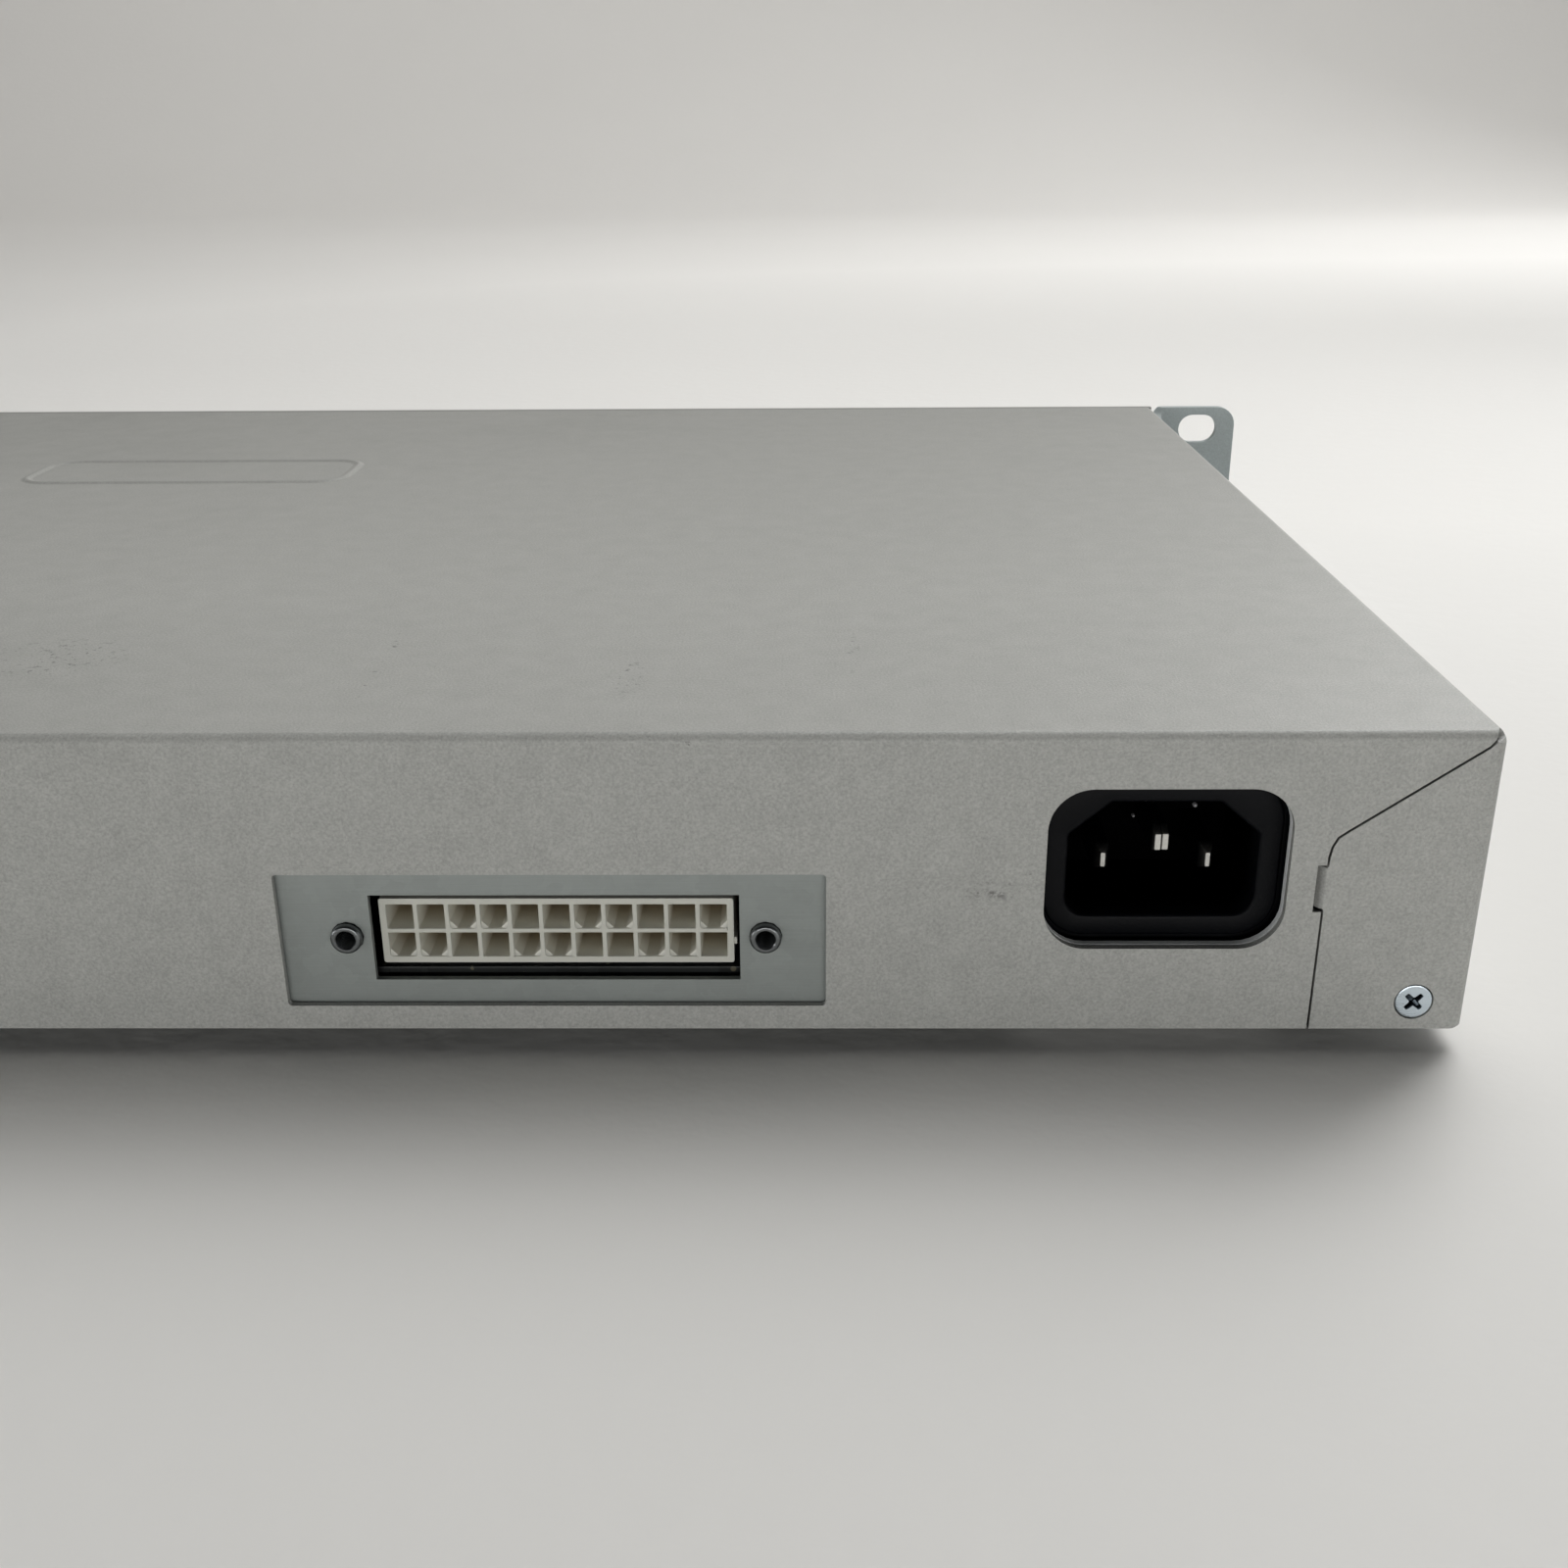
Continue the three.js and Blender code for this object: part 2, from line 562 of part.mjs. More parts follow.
// The main board with what is soldered to it: the two large chips, the memory socket and some small ones
const processor = { x: -20, y: -140, size: 31, height: 2.3 };
const switchChip = { x: 60, y: -175, size: 24, height: 1.9 };
const smallChips = [
  { x: -75, y: -190, size: 12, height: 1.4 }, { x: 20, y: -198, size: 14, height: 1.4 },
  { x: 75, y: -140, size: 12, height: 1.4 }, { x: 105, y: -150, size: 9, height: 1.4 },
  { x: -60, y: -110, size: 9, height: 1.4 }, { x: 120, y: -170, size: 10, height: 1.6 },
];

function makeMainBoard() {
  const chips = [processor, switchChip, ...smallChips].map(({ x, y, size, height }) => (
    box(x - size / 2, x + size / 2, y - size / 2, y + size / 2, boardTop - 0.5, boardTop + height)
  ));
  const socket = cut(box(40, 112, -108, -102, boardTop - 0.5, boardTop + 6),
    box(43, 109, -105.8, -104.2, boardTop + 1.5, boardTop + 7));
  const storageSocket = box(-112, -86, -157, -150.5, boardTop - 0.5, boardTop + 6);
  const ribbonSocket = box(-126, -112, -174, -164, boardTop - 0.5, boardTop + 4);
  return join(plate(mainBoard, cornersOf(mainBoard, 5)), chips, socket, storageSocket, ribbonSocket);
}

// The supply board carries its output capacitors and two power blocks, soldered in a row
function makeSupplyBoard() {
  const cans = [-74, -86, -98].map((y) => rod('z', 5, boardTop - 0.5, boardTop + 20, -150, y, 18));
  const bridge = box(-206, -186, -118, -113, boardTop - 0.5, boardTop + 16);
  return join(plate(supplyBoard, cornersOf(supplyBoard, 5)), cans, bridge);
}

function makeTransformer() {
  const [x, y, low] = [-178, -92, boardTop + gap];
  const core = join(
    box(x - 16, x + 16, y - 5, y + 5, low, low + 5),
    box(x - 16, x + 16, y - 5, y + 5, low + 21, low + 26),
    box(x - 16, x - 11, y - 5, y + 5, low, low + 26),
    box(x + 11, x + 16, y - 5, y + 5, low, low + 26),
  );
  return join(core, rod('z', 10.5, low + 5, low + 21, x, y, 20));
}

function makeChoke() {
  const ring = new THREE.TorusGeometry(7, 3.4, 8, 18);
  ring.rotateY(Math.PI / 2);
  ring.translate(-203, -52, boardTop + gap + 10.4);
  return solid(ring);
}

// Insulated wire from each inlet pin down to the supply board
function makeInletWire([x, z], shift) {
  const start = pinTail - gap;
  const ring = new THREE.Shape();
  ring.absarc(0, 0, 1.2, 0, 2 * Math.PI);
  return sweep(ring, [
    [x, start, z], [x, start - 4, z - 1],
    [x + shift / 2, start - 6, z - 6], [x + shift, start - 8, boardTop + gap],
  ], 10);
}

// Flat cables between the boards: a thin wide strip that rises out of one socket and drops into the next
function makeRibbon(points, width) {
  const [w, t] = [width / 2, 0.6];
  return sweep(outline([[-w, -t], [w, -t], [w, t], [-w, t]]), points, 14);
}

const supplyRoute = [
  [-146, -152, boardTop + 1], [-145.5, -154, boardTop + 7], [-138, -159, boardTop + 12],
  [-127, -165, boardTop + 11.5], [-120, -168, boardTop + 8],
];
const backupRoute = [
  [-128, -52, boardTop + 1], [-129, -52, boardTop + 6], [-136, -52, boardTop + 10],
  [-143, -52, boardTop + 6], [-144, -52, boardTop + 1],
];

// Fan: a square frame with a motor base on struts, and a bladed rotor that turns about X

const fanOuter = traySide - sheet - gap;
const fanInner = fanOuter - fan.thick;
const fanCorner = fan.size / 2 - 3;
const fanCorners = [-fanCorner, fanCorner].flatMap((dy) => [[dy, -fanCorner], [dy, fanCorner]]);

function makeFanFrame() {
  const h = fan.size / 2;
  const holes = fanCorners.map(([dy, dz]) => rod('x', 1.75, fanInner - 1, fanOuter + 1, dy, dz, 10));
  const duct = rod('x', fan.bore, fanInner - 1, fanOuter + 1, 0, 0, 28);
  const frame = cut(box(fanInner, fanOuter, -h, h, -h, h), duct, holes);
  const struts = [0, 90, 180, 270].map((turn) => (
    box(fanOuter - 2.5, fanOuter, -1, 1, fan.hub - 2, fan.bore + 0.4).rotate([turn + 45, 0, 0])
  ));
  const base = join(rod('x', fan.hub, fanOuter - 2.5, fanOuter, 0, 0, 20), struts);
  return join(frame, cut(base, rod('x', 1.4, fanOuter - 3, fanOuter + 1, 0, 0, 12)));
}

function makeFanRotor() {
  const [from, to] = [fanInner + 1.5, fanOuter - 3.2];
  const middle = (from + to) / 2;
  const blades = [];
  const count = 7;
  for (let i = 0; i < count; i += 1) {
    const blade = box(-7, 7, -0.6, 0.6, fan.hub - 1, fan.blade + 1).rotate([0, 0, 32]);
    blades.push(blade.translate([middle, 0, 0]).rotate([(360 / count) * i, 0, 0]));
  }
  const bladed = join(blades).intersect(rod('x', fan.blade, from, to, 0, 0, 28));
  return join(bladed, rod('x', fan.hub, from, to, 0, 0, 20), rod('x', 1, to - 1, fanOuter - 0.5, 0, 0, 10));
}

// Everything in its place

addPart('top_cover', makeTopCover(), 'paint');
addPart('base_tray', makeBaseTray(), 'galvanised');
addPart('front_panel', makeFrontPanel(), 'paint');
addPart('rack_ear_right', makeRackEar(1), 'galvanised');
addPart('rack_ear_left', makeRackEar(-1), 'galvanised');

const cornerScrewX = side - cornerScrew.inset;
const recessedScrew = countersunkScrew(6, true);
const plainScrew = countersunkScrew(5, false);
addPart('corner_screw_right', recessedScrew, 'zinc', [cornerScrewX, 0, cornerScrew.z]);
addPart('corner_screw_left', recessedScrew, 'zinc', [-cornerScrewX, 0, cornerScrew.z]);
const rightSideScrew = plainScrew.rotate([0, 0, -90]);
const leftSideScrew = plainScrew.rotate([0, 0, 90]);
const rightEarScrew = makeEarScrew().mirror([1, 0, 0]);
const leftEarScrew = makeEarScrew();
const earScrewX = side + 2 * gap + ear.thick;
for (const [i, sign] of [1, -1].entries()) {
  const sideScrew = sign > 0 ? rightSideScrew : leftSideScrew;
  const earScrew = sign > 0 ? rightEarScrew : leftEarScrew;
  sideScrewY.forEach((y, k) => {
    addPart(`side_screw_${2 * i + k + 1}`, sideScrew, 'zinc', [sign * side, y, sideScrewZ]);
  });
  earScrewY.forEach((y, k) => {
    addPart(`ear_screw_${2 * i + k + 1}`, earScrew, 'zinc', [sign * earScrewX, y, earScrewZ]);
  });
}
const frontScrew = plainScrew.rotate([0, 0, 180]);
frontScrewX.forEach((x, i) => {
  addPart(`front_screw_${i + 1}`, frontScrew, 'zinc', [x, frontFace, frontScrewZ]);
});

const footPlaces = [[-195, -22], [195, -22], [-195, -214], [195, -214]];
const foot = rod('z', 6, -gap - footHeight, -gap, 0, 0, 20, 6.5);
footPlaces.forEach(([x, y], i) => addPart(`rubber_foot_${i + 1}`, foot, 'rubber', [x, y, 0]));

addPart('inlet_housing', makeInletHousing(), 'blackPlastic');
for (const [name, [x, z]] of Object.entries(pinPlaces)) {
  addPart(name, box(x - 1, x + 1, pinTail, pinTip, z - 2, z + 2), 'tin');
}
addPart('backup_supply_shell', makeBackupShell(), 'ivory');
addPart('backup_supply_terminals', makeBackupTerminals(), 'tin');
const jackNut = makeJackNut();
jackNutX.forEach((x, i) => addPart(`jack_nut_${i + 1}`, jackNut, 'brightSteel', [x, 0, jackNutZ]));

const portLow = boardTop + gap;
for (const { name, x, ports } of jackBlocks) {
  addPart(name, makeJackBlock(ports), 'brightSteel', [x, frontFace - 0.2, portLow]);
}
const cageBody = makeCage();
cageX.forEach((x, i) => {
  addPart(`transceiver_cage_${i + 1}`, cageBody, 'brightSteel', [x, frontFace - 1, portLow]);
});
addPart('usb_port', makeUsbPort(), 'brightSteel', [usb.x, frontFace - 0.4, portLow]);
addPart('light_pipes', makeLightPipes(), 'clear');
addPart('reset_button', makeResetButton(), 'blackPlastic');
addPart('reset_switch', makeResetSwitch(), 'package');

addPart('main_board', makeMainBoard(), 'board');
addPart('supply_board', makeSupplyBoard(), 'board');
addPart('backup_board', plate(backupBoard, cornersOf(backupBoard, 5)), 'board');
const processorTop = boardTop + processor.height + gap;
const processorSink = finnedSink(processor.x, processor.y, 60, 50, processorTop, boardTop + 24, 15);
const switchTop = boardTop + switchChip.height + gap;
const switchSink = finnedSink(switchChip.x, switchChip.y, 32, 30, switchTop, boardTop + 15, 9);
addPart('processor_heatsink', processorSink, 'aluminium');
addPart('switch_heatsink', switchSink, 'aluminium');
addPart('memory_module', box(43.5, 108.5, -105.4, -104.6, boardTop + 2, boardTop + 30), 'board');
addPart('storage_module', box(-110, -88, -150, -92, boardTop + 4, boardTop + 5), 'board');
addPart('clock_cell', rod('z', 10, boardTop + gap, boardTop + 3.5, 130, -125, 24), 'brightSteel');
addPart('supply_transformer', makeTransformer(), 'ferrite');
addPart('supply_choke', makeChoke(), 'wire');
addPart('bulk_capacitor', rod('z', 9, boardTop + gap, boardTop + 27, -199, -78, 20), 'sleeve');
addPart('supply_heatsink', finnedSink(-176, -138, 52, 16, boardTop + gap, boardTop + 24, 7), 'aluminium');
Object.entries(pinPlaces).forEach(([name, place], i) => {
  addPart(name.replace('pin', 'wire'), makeInletWire(place, i - 1), 'wire');
});
addPart('supply_ribbon', makeRibbon(supplyRoute, 8), 'wire');
addPart('backup_ribbon', makeRibbon(backupRoute, 10), 'wire');

const fanFrame = makeFanFrame();
const fanRotor = makeFanRotor();
fan.y.forEach((y, i) => {
  addPart(`fan_${i + 1}_frame`, fanFrame, 'blackPlastic', [0, y, fan.z]);
  addPart(`fan_${i + 1}_rotor`, fanRotor, 'blackPlastic', [0, y, fan.z]);
});

// The chassis stands on its feet, centred over the origin
const appliance = new THREE.Group();
appliance.add(chassis);
const extent = new THREE.Box3().setFromObject(chassis);
chassis.position.set(0, -(extent.min.y + extent.max.y) / 2, -extent.min.z);
appliance.updateMatrixWorld(true);

export default appliance;
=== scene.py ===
import json
import bmesh
import bpy
import numpy as np
from mathutils import Matrix, Vector
from mathutils.geometry import delaunay_2d_cdt


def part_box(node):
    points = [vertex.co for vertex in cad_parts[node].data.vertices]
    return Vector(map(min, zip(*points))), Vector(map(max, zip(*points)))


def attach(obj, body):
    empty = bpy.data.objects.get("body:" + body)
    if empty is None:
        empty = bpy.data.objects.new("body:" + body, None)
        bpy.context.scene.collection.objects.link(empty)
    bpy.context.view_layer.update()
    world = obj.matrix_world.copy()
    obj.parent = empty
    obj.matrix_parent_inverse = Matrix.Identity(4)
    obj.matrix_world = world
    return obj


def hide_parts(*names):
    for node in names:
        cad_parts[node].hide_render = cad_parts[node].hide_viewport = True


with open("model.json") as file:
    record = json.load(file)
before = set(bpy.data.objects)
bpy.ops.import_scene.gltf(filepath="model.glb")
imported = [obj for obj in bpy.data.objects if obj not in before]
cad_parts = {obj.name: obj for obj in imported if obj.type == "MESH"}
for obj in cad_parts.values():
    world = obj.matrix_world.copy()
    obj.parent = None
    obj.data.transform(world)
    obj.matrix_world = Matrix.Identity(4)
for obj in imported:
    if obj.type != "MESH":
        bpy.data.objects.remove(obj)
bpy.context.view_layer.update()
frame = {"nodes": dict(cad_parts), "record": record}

# Shop frame: millimetres, x as in the row, y 0 on the outer face of the rear panel, z 0 under the tray
mm = 0.001
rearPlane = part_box("top_cover")[1].y
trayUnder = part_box("base_tray")[0].z
shopOrigin = np.array([0.0, rearPlane, trayUnder])
quarter = np.pi / 2


def nodeBox(name):  # a CAD node's low corner, high corner and middle in the shop frame
    low, high = [(np.array(corner) - shopOrigin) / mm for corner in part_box(name)]
    return low, high, (low + high) / 2


# Outlines, in millimetres on a plane

def unit(v):
    return v / np.maximum(np.linalg.norm(v, axis=-1, keepdims=True), 1e-12)


def smooth(x):  # 0 below 0, 1 above 1, and 3x^2 - 2x^3 between
    x = np.clip(x, 0, 1)
    return x * x * (3 - 2 * x)


def filletLoop(points, radius, steps=6):
    # each corner becomes an exact arc: a rational quadratic, its middle weight the sine of half the corner
    p = np.asarray(points, float)
    d1, d2 = unit(np.roll(p, 1, 0) - p), unit(np.roll(p, -1, 0) - p)
    half = np.arccos(np.clip((d1 * d2).sum(1), -1, 1)) / 2
    reach = (np.broadcast_to(radius, half.shape) / np.tan(np.maximum(half, 1e-3)))[:, None, None]
    a, b, c = p[:, None] + d1[:, None] * reach, p[:, None] + d2[:, None] * reach, p[:, None]
    u = np.linspace(0, 1, steps)[None, :, None]
    w = np.sin(half)[:, None, None]
    top = (1 - u) ** 2 * a + 2 * u * (1 - u) * w * c + u ** 2 * b
    return (top / ((1 - u) ** 2 + 2 * u * (1 - u) * w + u ** 2)).reshape(-1, 2)


def rectangle(x, z, width, height, radius=0.0, steps=6):
    w, h = width / 2, height / 2
    corners = np.array([[x - w, z - h], [x + w, z - h], [x + w, z + h], [x - w, z + h]], float)
    return filletLoop(corners, radius, steps) if radius > 0 else corners


def ring(x, z, radius, steps=32):
    a = np.linspace(0, 2 * np.pi, steps, endpoint=False)
    return np.stack([x + radius * np.cos(a), z + radius * np.sin(a)], 1)


def fill(loops, lines=()):
    # Delaunay triangles of the loops and lines, kept where the middle is inside an odd number of loops
    points, edges = [], []
    for loop in loops:
        n = len(points)
        points += [tuple(p) for p in loop]
        edges += [(n + i, n + (i + 1) % len(loop)) for i in range(len(loop))]
    for line in lines:
        n = len(points)
        points += [tuple(p) for p in line]
        edges += [(n + i, n + i + 1) for i in range(len(line) - 1)]
    found = delaunay_2d_cdt([Vector(p) for p in points], edges, [], 0, 1e-6, False)
    verts = np.array([tuple(v) for v in found[0]])
    tris = np.array([tuple(f) for f in found[2]])
    middle = verts[tris].mean(1)
    inside = np.zeros(len(tris), bool)
    for loop in loops:
        a, b = np.asarray(loop, float), np.roll(np.asarray(loop, float), -1, 0)
        spans = (a[:, 1] > middle[:, 1, None]) != (b[:, 1] > middle[:, 1, None])
        rise = np.where(b[:, 1] == a[:, 1], 1e-12, b[:, 1] - a[:, 1])
        cross = a[:, 0] + (middle[:, 1, None] - a[:, 1]) * (b[:, 0] - a[:, 0]) / rise
        inside ^= ((spans & (middle[:, 0, None] < cross)).sum(1) % 2).astype(bool)
    return verts, tris[inside]


def rimEdges(tris):  # edges that only one triangle has, kept in that triangle's direction
    directed = np.concatenate([tris[:, [0, 1]], tris[:, [1, 2]], tris[:, [2, 0]]])
    key = np.sort(directed, 1)
    _, first, count = np.unique(key, axis=0, return_index=True, return_counts=True)
    return directed[first[count == 1]]


# Surfaces: each gives points and faces

def gridFaces(rows, columns, wrap=True):
    r, c = np.meshgrid(np.arange(rows - 1), np.arange(columns if wrap else columns - 1), indexing="ij")
    r, c = r.ravel(), c.ravel()
    n = (c + 1) % columns
    return np.stack([r * columns + c, r * columns + n, (r + 1) * columns + n, (r + 1) * columns + c], 1)


def loft(loops, capFirst=True, capLast=True):
    # closed loops of equal length, joined one to the next
    loops = np.asarray(loops, float)
    rows, columns = loops.shape[:2]
    faces = gridFaces(rows, columns).tolist()
    if capFirst:
        faces.append(list(range(columns))[::-1])
    if capLast:
        faces.append(list(range((rows - 1) * columns, rows * columns)))
    return loops.reshape(-1, 3), faces


def loftAlongY(rows, capFirst=True, capLast=True):  # flat loops of x and z, each at its own depth
    return loft([np.insert(loop, 1, y, axis=1) for loop, y in rows], capFirst, capLast)


def bar(loop, *depths):  # one flat loop drawn straight from depth to depth
    return loftAlongY([(loop, y) for y in depths])


def foldedSheet(loops, lines, fold, thickness):
    # the flat pattern folded at depth 0 and at the sheet's thickness, with walls round every edge
    verts, tris = fill(loops, lines)
    n = len(verts)
    rim = rimEdges(tris)
    walls = np.stack([rim[:, 1], rim[:, 0], rim[:, 0] + n, rim[:, 1] + n], 1)
    points = np.concatenate([fold(verts, 0.0), fold(verts, thickness)])
    return points, tris.tolist() + (tris[:, ::-1] + n).tolist() + walls.tolist()


def slab(loops, low, high):  # a flat shape with holes, drawn in x and z and given thickness along y
    return foldedSheet(loops, (), lambda flat, depth: np.insert(flat, 1, low + depth, axis=1), high - low)


def wellBlock(outer, wells, front, back, floors, lip=0.0, deepWells=None, deepAt=0.0):
    # a block along y with blind wells: front face with holes, well walls and floors, outer walls and back
    verts, tris = fill([outer] + list(wells))
    parts = [(np.insert(verts, 1, front, axis=1), tris.tolist())]
    inward = np.sign(front - back)
    for well, deep, floor in zip(wells, deepWells or wells, floors):
        middle = well.mean(0)
        steps = [(well, front, 1.0), (well, front - inward * lip, 1 - lip / 4)]
        if deepWells:
            steps.append((deep, front - inward * deepAt, 1 - lip / 4 - 0.005))
        steps.append((deep, floor, 1 - lip / 4 - 0.02))
        parts.append(loftAlongY([(middle + (loop - middle) * size, y) for loop, y, size in steps], False))
    return joined(parts + [loftAlongY([(outer, front), (outer, back)], False)])


def joined(parts):
    points, faces, count = [], [], 0
    for p, f in parts:
        points.append(np.asarray(p, float))
        faces += [[i + count for i in face] for face in f]
        count += len(p)
    return np.concatenate(points), faces


def lathe(profile, steps=48):
    # radius and height pairs turned about the height axis: gives x, height, z
    profile = np.asarray(profile, float)
    a = np.linspace(0, 2 * np.pi, steps, endpoint=False)
    r, h = profile[:, :1], profile[:, 1:]
    points = np.stack([r * np.cos(a), np.repeat(h, steps, 1), r * np.sin(a)], 2)
    return points.reshape(-1, 3), gridFaces(len(profile), steps).tolist()


def carry(section, path, up, closed=False):
    # a closed section, across and up, carried along a path whose frame is tangent, across and up
    path, section = np.asarray(path, float), np.asarray(section, float)
    if closed:
        ahead = np.roll(path, -1, 0) - np.roll(path, 1, 0)
    else:
        ahead = np.gradient(path, axis=0)
    tangent = unit(ahead)
    across = unit(np.cross(tangent, np.asarray(up, float)))
    rise = np.cross(across, tangent)
    loops = path[:, None] + section[None, :, :1] * across[:, None] + section[None, :, 1:] * rise[:, None]
    if closed:
        loops = np.concatenate([loops, loops[:1]])
    return loft(loops, not closed, not closed)


def turned(part, axes, centre):
    # local x, y, z laid along three directions and moved to a centre
    points, faces = part
    return points @ np.asarray(axes, float) + np.asarray(centre, float), faces


rearward = [[1, 0, 0], [0, 1, 0], [0, 0, 1]]
frontward = [[-1, 0, 0], [0, -1, 0], [0, 0, 1]]
rightward = [[0, -1, 0], [1, 0, 0], [0, 0, 1]]
leftward = [[0, 1, 0], [-1, 0, 0], [0, 0, 1]]
upward = [[1, 0, 0], [0, 0, 1], [0, -1, 0]]


def addPiece(name, part, finish, nodes=(), body="chassis", bevel=0.0, sharp=35, recessShade=None):
    points, faces = part
    mesh = bpy.data.meshes.new(name)
    mesh.from_pydata((np.asarray(points) * mm + shopOrigin).tolist(), [], faces)
    if recessShade is not None:
        mesh.attributes.new("recessShade", "FLOAT", "POINT").data.foreach_set("value", np.asarray(recessShade, float))
    shape = bmesh.new()
    shape.from_mesh(mesh)
    bmesh.ops.remove_doubles(shape, verts=shape.verts, dist=2e-7)
    bmesh.ops.recalc_face_normals(shape, faces=shape.faces)
    shape.to_mesh(mesh)
    shape.free()
    mesh.shade_smooth()
    mesh.set_sharp_from_angle(angle=np.radians(sharp))
    piece = bpy.data.objects.new(name, mesh)
    bpy.context.scene.collection.objects.link(piece)
    mesh.materials.append(finishes[finish])
    if bevel:
        softenEdges(piece, bevel)
    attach(piece, body)
    if nodes:
        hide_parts(*nodes)
    return piece


def softenEdges(piece, width, weld=False):
    if weld:
        join = piece.modifiers.new("weld", "WELD")
        join.merge_threshold = 1e-6
    edge = piece.modifiers.new("edges", "BEVEL")
    edge.width = width * mm
    edge.segments = 2
    edge.limit_method = "ANGLE"
    edge.angle_limit = np.radians(40)
    edge.use_clamp_overlap = True
    shade = piece.modifiers.new("shade", "WEIGHTED_NORMAL")
    shade.keep_sharp = False
    shade.weight = 80


print("stage: tools ready")


# Shader groups and node helpers

def put(tree, kind, settings=None, **values):
    made = tree.nodes.new("ShaderNode" + kind)
    for key, value in (settings or {}).items():
        setattr(made, key, value)
    for key, value in values.items():
        plug(tree, made.inputs[key.replace("_", " ")], value)
    return made


def plug(tree, socket, value):
    if isinstance(value, bpy.types.NodeSocket):
        tree.links.new(value, socket)
    else:
        socket.default_value = value


def calc(tree, operation, *values):
    made = put(tree, "Math", {"operation": operation})
    for socket, value in zip(made.inputs, values):
        plug(tree, socket, value)
    return made.outputs[0]


def times(tree, first, second):
    return calc(tree, "MULTIPLY", first, second)


def plus(tree, first, second):
    return calc(tree, "ADD", first, second)


def blend(tree, amount, first, second, mode="MIX"):
    made = put(tree, "Mix", {"data_type": "RGBA", "blend_type": mode})
    for i, value in ((0, amount), (6, first), (7, second)):
        plug(tree, made.inputs[i], value)
    return made.outputs[2]


def spread(tree, value, low, high, outLow=0.0, outHigh=1.0):
    # a value between two limits, stretched to two others and clamped
    made = put(tree, "MapRange", {"clamp": True})
    for socket, v in zip(made.inputs, (value, low, high, outLow, outHigh)):
        plug(tree, socket, v)
    return made.outputs[0]


def noise(tree, position, scale, detail=2.0, roughness=0.5):
    return put(tree, "TexNoise", Vector=position, Scale=scale, Detail=detail, Roughness=roughness).outputs[0]


def makeGroup(name, settings, results):  # a group takes a position and its settings, and gives plain numbers
    tree = bpy.data.node_groups.new(name, "ShaderNodeTree")
    tree.interface.new_socket("Position", in_out="INPUT", socket_type="NodeSocketVector")
    for label, value in settings.items():
        kind = "NodeSocketFloat" if isinstance(value, float) else "NodeSocketVector"
        tree.interface.new_socket(label, in_out="INPUT", socket_type=kind).default_value = value
    for label in results:
        tree.interface.new_socket(label, in_out="OUTPUT", socket_type="NodeSocketFloat")
    return tree, tree.nodes.new("NodeGroupInput").outputs, tree.nodes.new("NodeGroupOutput").inputs


def sprayGroup():
    # fine round grain over a slower mottle: tone is 1 plus or minus the contrast, height is the grain itself
    tree, given, result = makeGroup("spray grain", {"Grains per metre": 1500.0, "Contrast": 0.1},
                                    ("Tone", "Height"))
    fine = noise(tree, given[0], given[1], 2.0, 0.6)
    slow = noise(tree, given[0], times(tree, given[1], 0.07), 3.0)
    both = plus(tree, times(tree, fine, 0.8), times(tree, slow, 0.2))
    plug(tree, result[0], calc(tree, "MULTIPLY_ADD", calc(tree, "SUBTRACT", both, 0.5), given[2], 1.0))
    plug(tree, result[1], fine)
    return tree


def smudgeGroup():
    # handling film: slow noise raised above a threshold and broken up by a finer one
    tree, given, result = makeGroup("handling film", {"Patches per metre": 12.0, "Cover": 0.5},
                                    ("Mask",))
    slow = noise(tree, given[0], given[1], 4.0, 0.6)
    fine = noise(tree, given[0], times(tree, given[1], 14.0), 3.0, 0.7)
    high = calc(tree, "SUBTRACT", 1.0, given[2])
    patch = spread(tree, slow, calc(tree, "SUBTRACT", high, 0.12), plus(tree, high, 0.12))
    plug(tree, result[0], times(tree, patch, spread(tree, fine, 0.3, 0.7, 0.4, 1.0)))
    return tree


def speckGroup():
    # scattered tiny specks: near enough to a scattered point, on a few of the points only
    tree, given, result = makeGroup("specks", {"Cells per metre": 60.0, "Share": 0.2, "Size": 0.04},
                                    ("Mask",))
    cells = put(tree, "TexVoronoi", Vector=given[0], Scale=given[1])
    chosen = put(tree, "SeparateColor", Color=cells.outputs["Color"]).outputs[0]
    near = calc(tree, "LESS_THAN", cells.outputs["Distance"], times(tree, given[3], chosen))
    few = calc(tree, "GREATER_THAN", chosen, calc(tree, "SUBTRACT", 1.0, given[2]))
    plug(tree, result[0], times(tree, near, few))
    return tree


def crystalGroup():
    # zinc crystals: cells of random tone, bent by noise so that their borders are ragged
    tree, given, result = makeGroup("zinc crystals", {"Cells per metre": 300.0, "Contrast": 0.2},
                                    ("Tone", "Height"))
    warp = put(tree, "TexNoise", Vector=given[0], Scale=times(tree, given[1], 1.3), Detail=2.0)
    bent = put(tree, "VectorMath", {"operation": "MULTIPLY_ADD"})
    for socket, value in zip(bent.inputs, (warp.outputs[1], (0.0035, 0.0035, 0.0035), given[0])):
        plug(tree, socket, value)
    cells = put(tree, "TexVoronoi", Vector=bent.outputs[0], Scale=given[1])
    grey = put(tree, "SeparateColor", Color=cells.outputs["Color"]).outputs[0]
    fine = noise(tree, given[0], times(tree, given[1], 9.0), 2.0)
    both = plus(tree, times(tree, grey, 0.6), times(tree, fine, 0.4))
    plug(tree, result[0], calc(tree, "MULTIPLY_ADD", calc(tree, "SUBTRACT", both, 0.5), given[2], 1.0))
    plug(tree, result[1], both)
    return tree


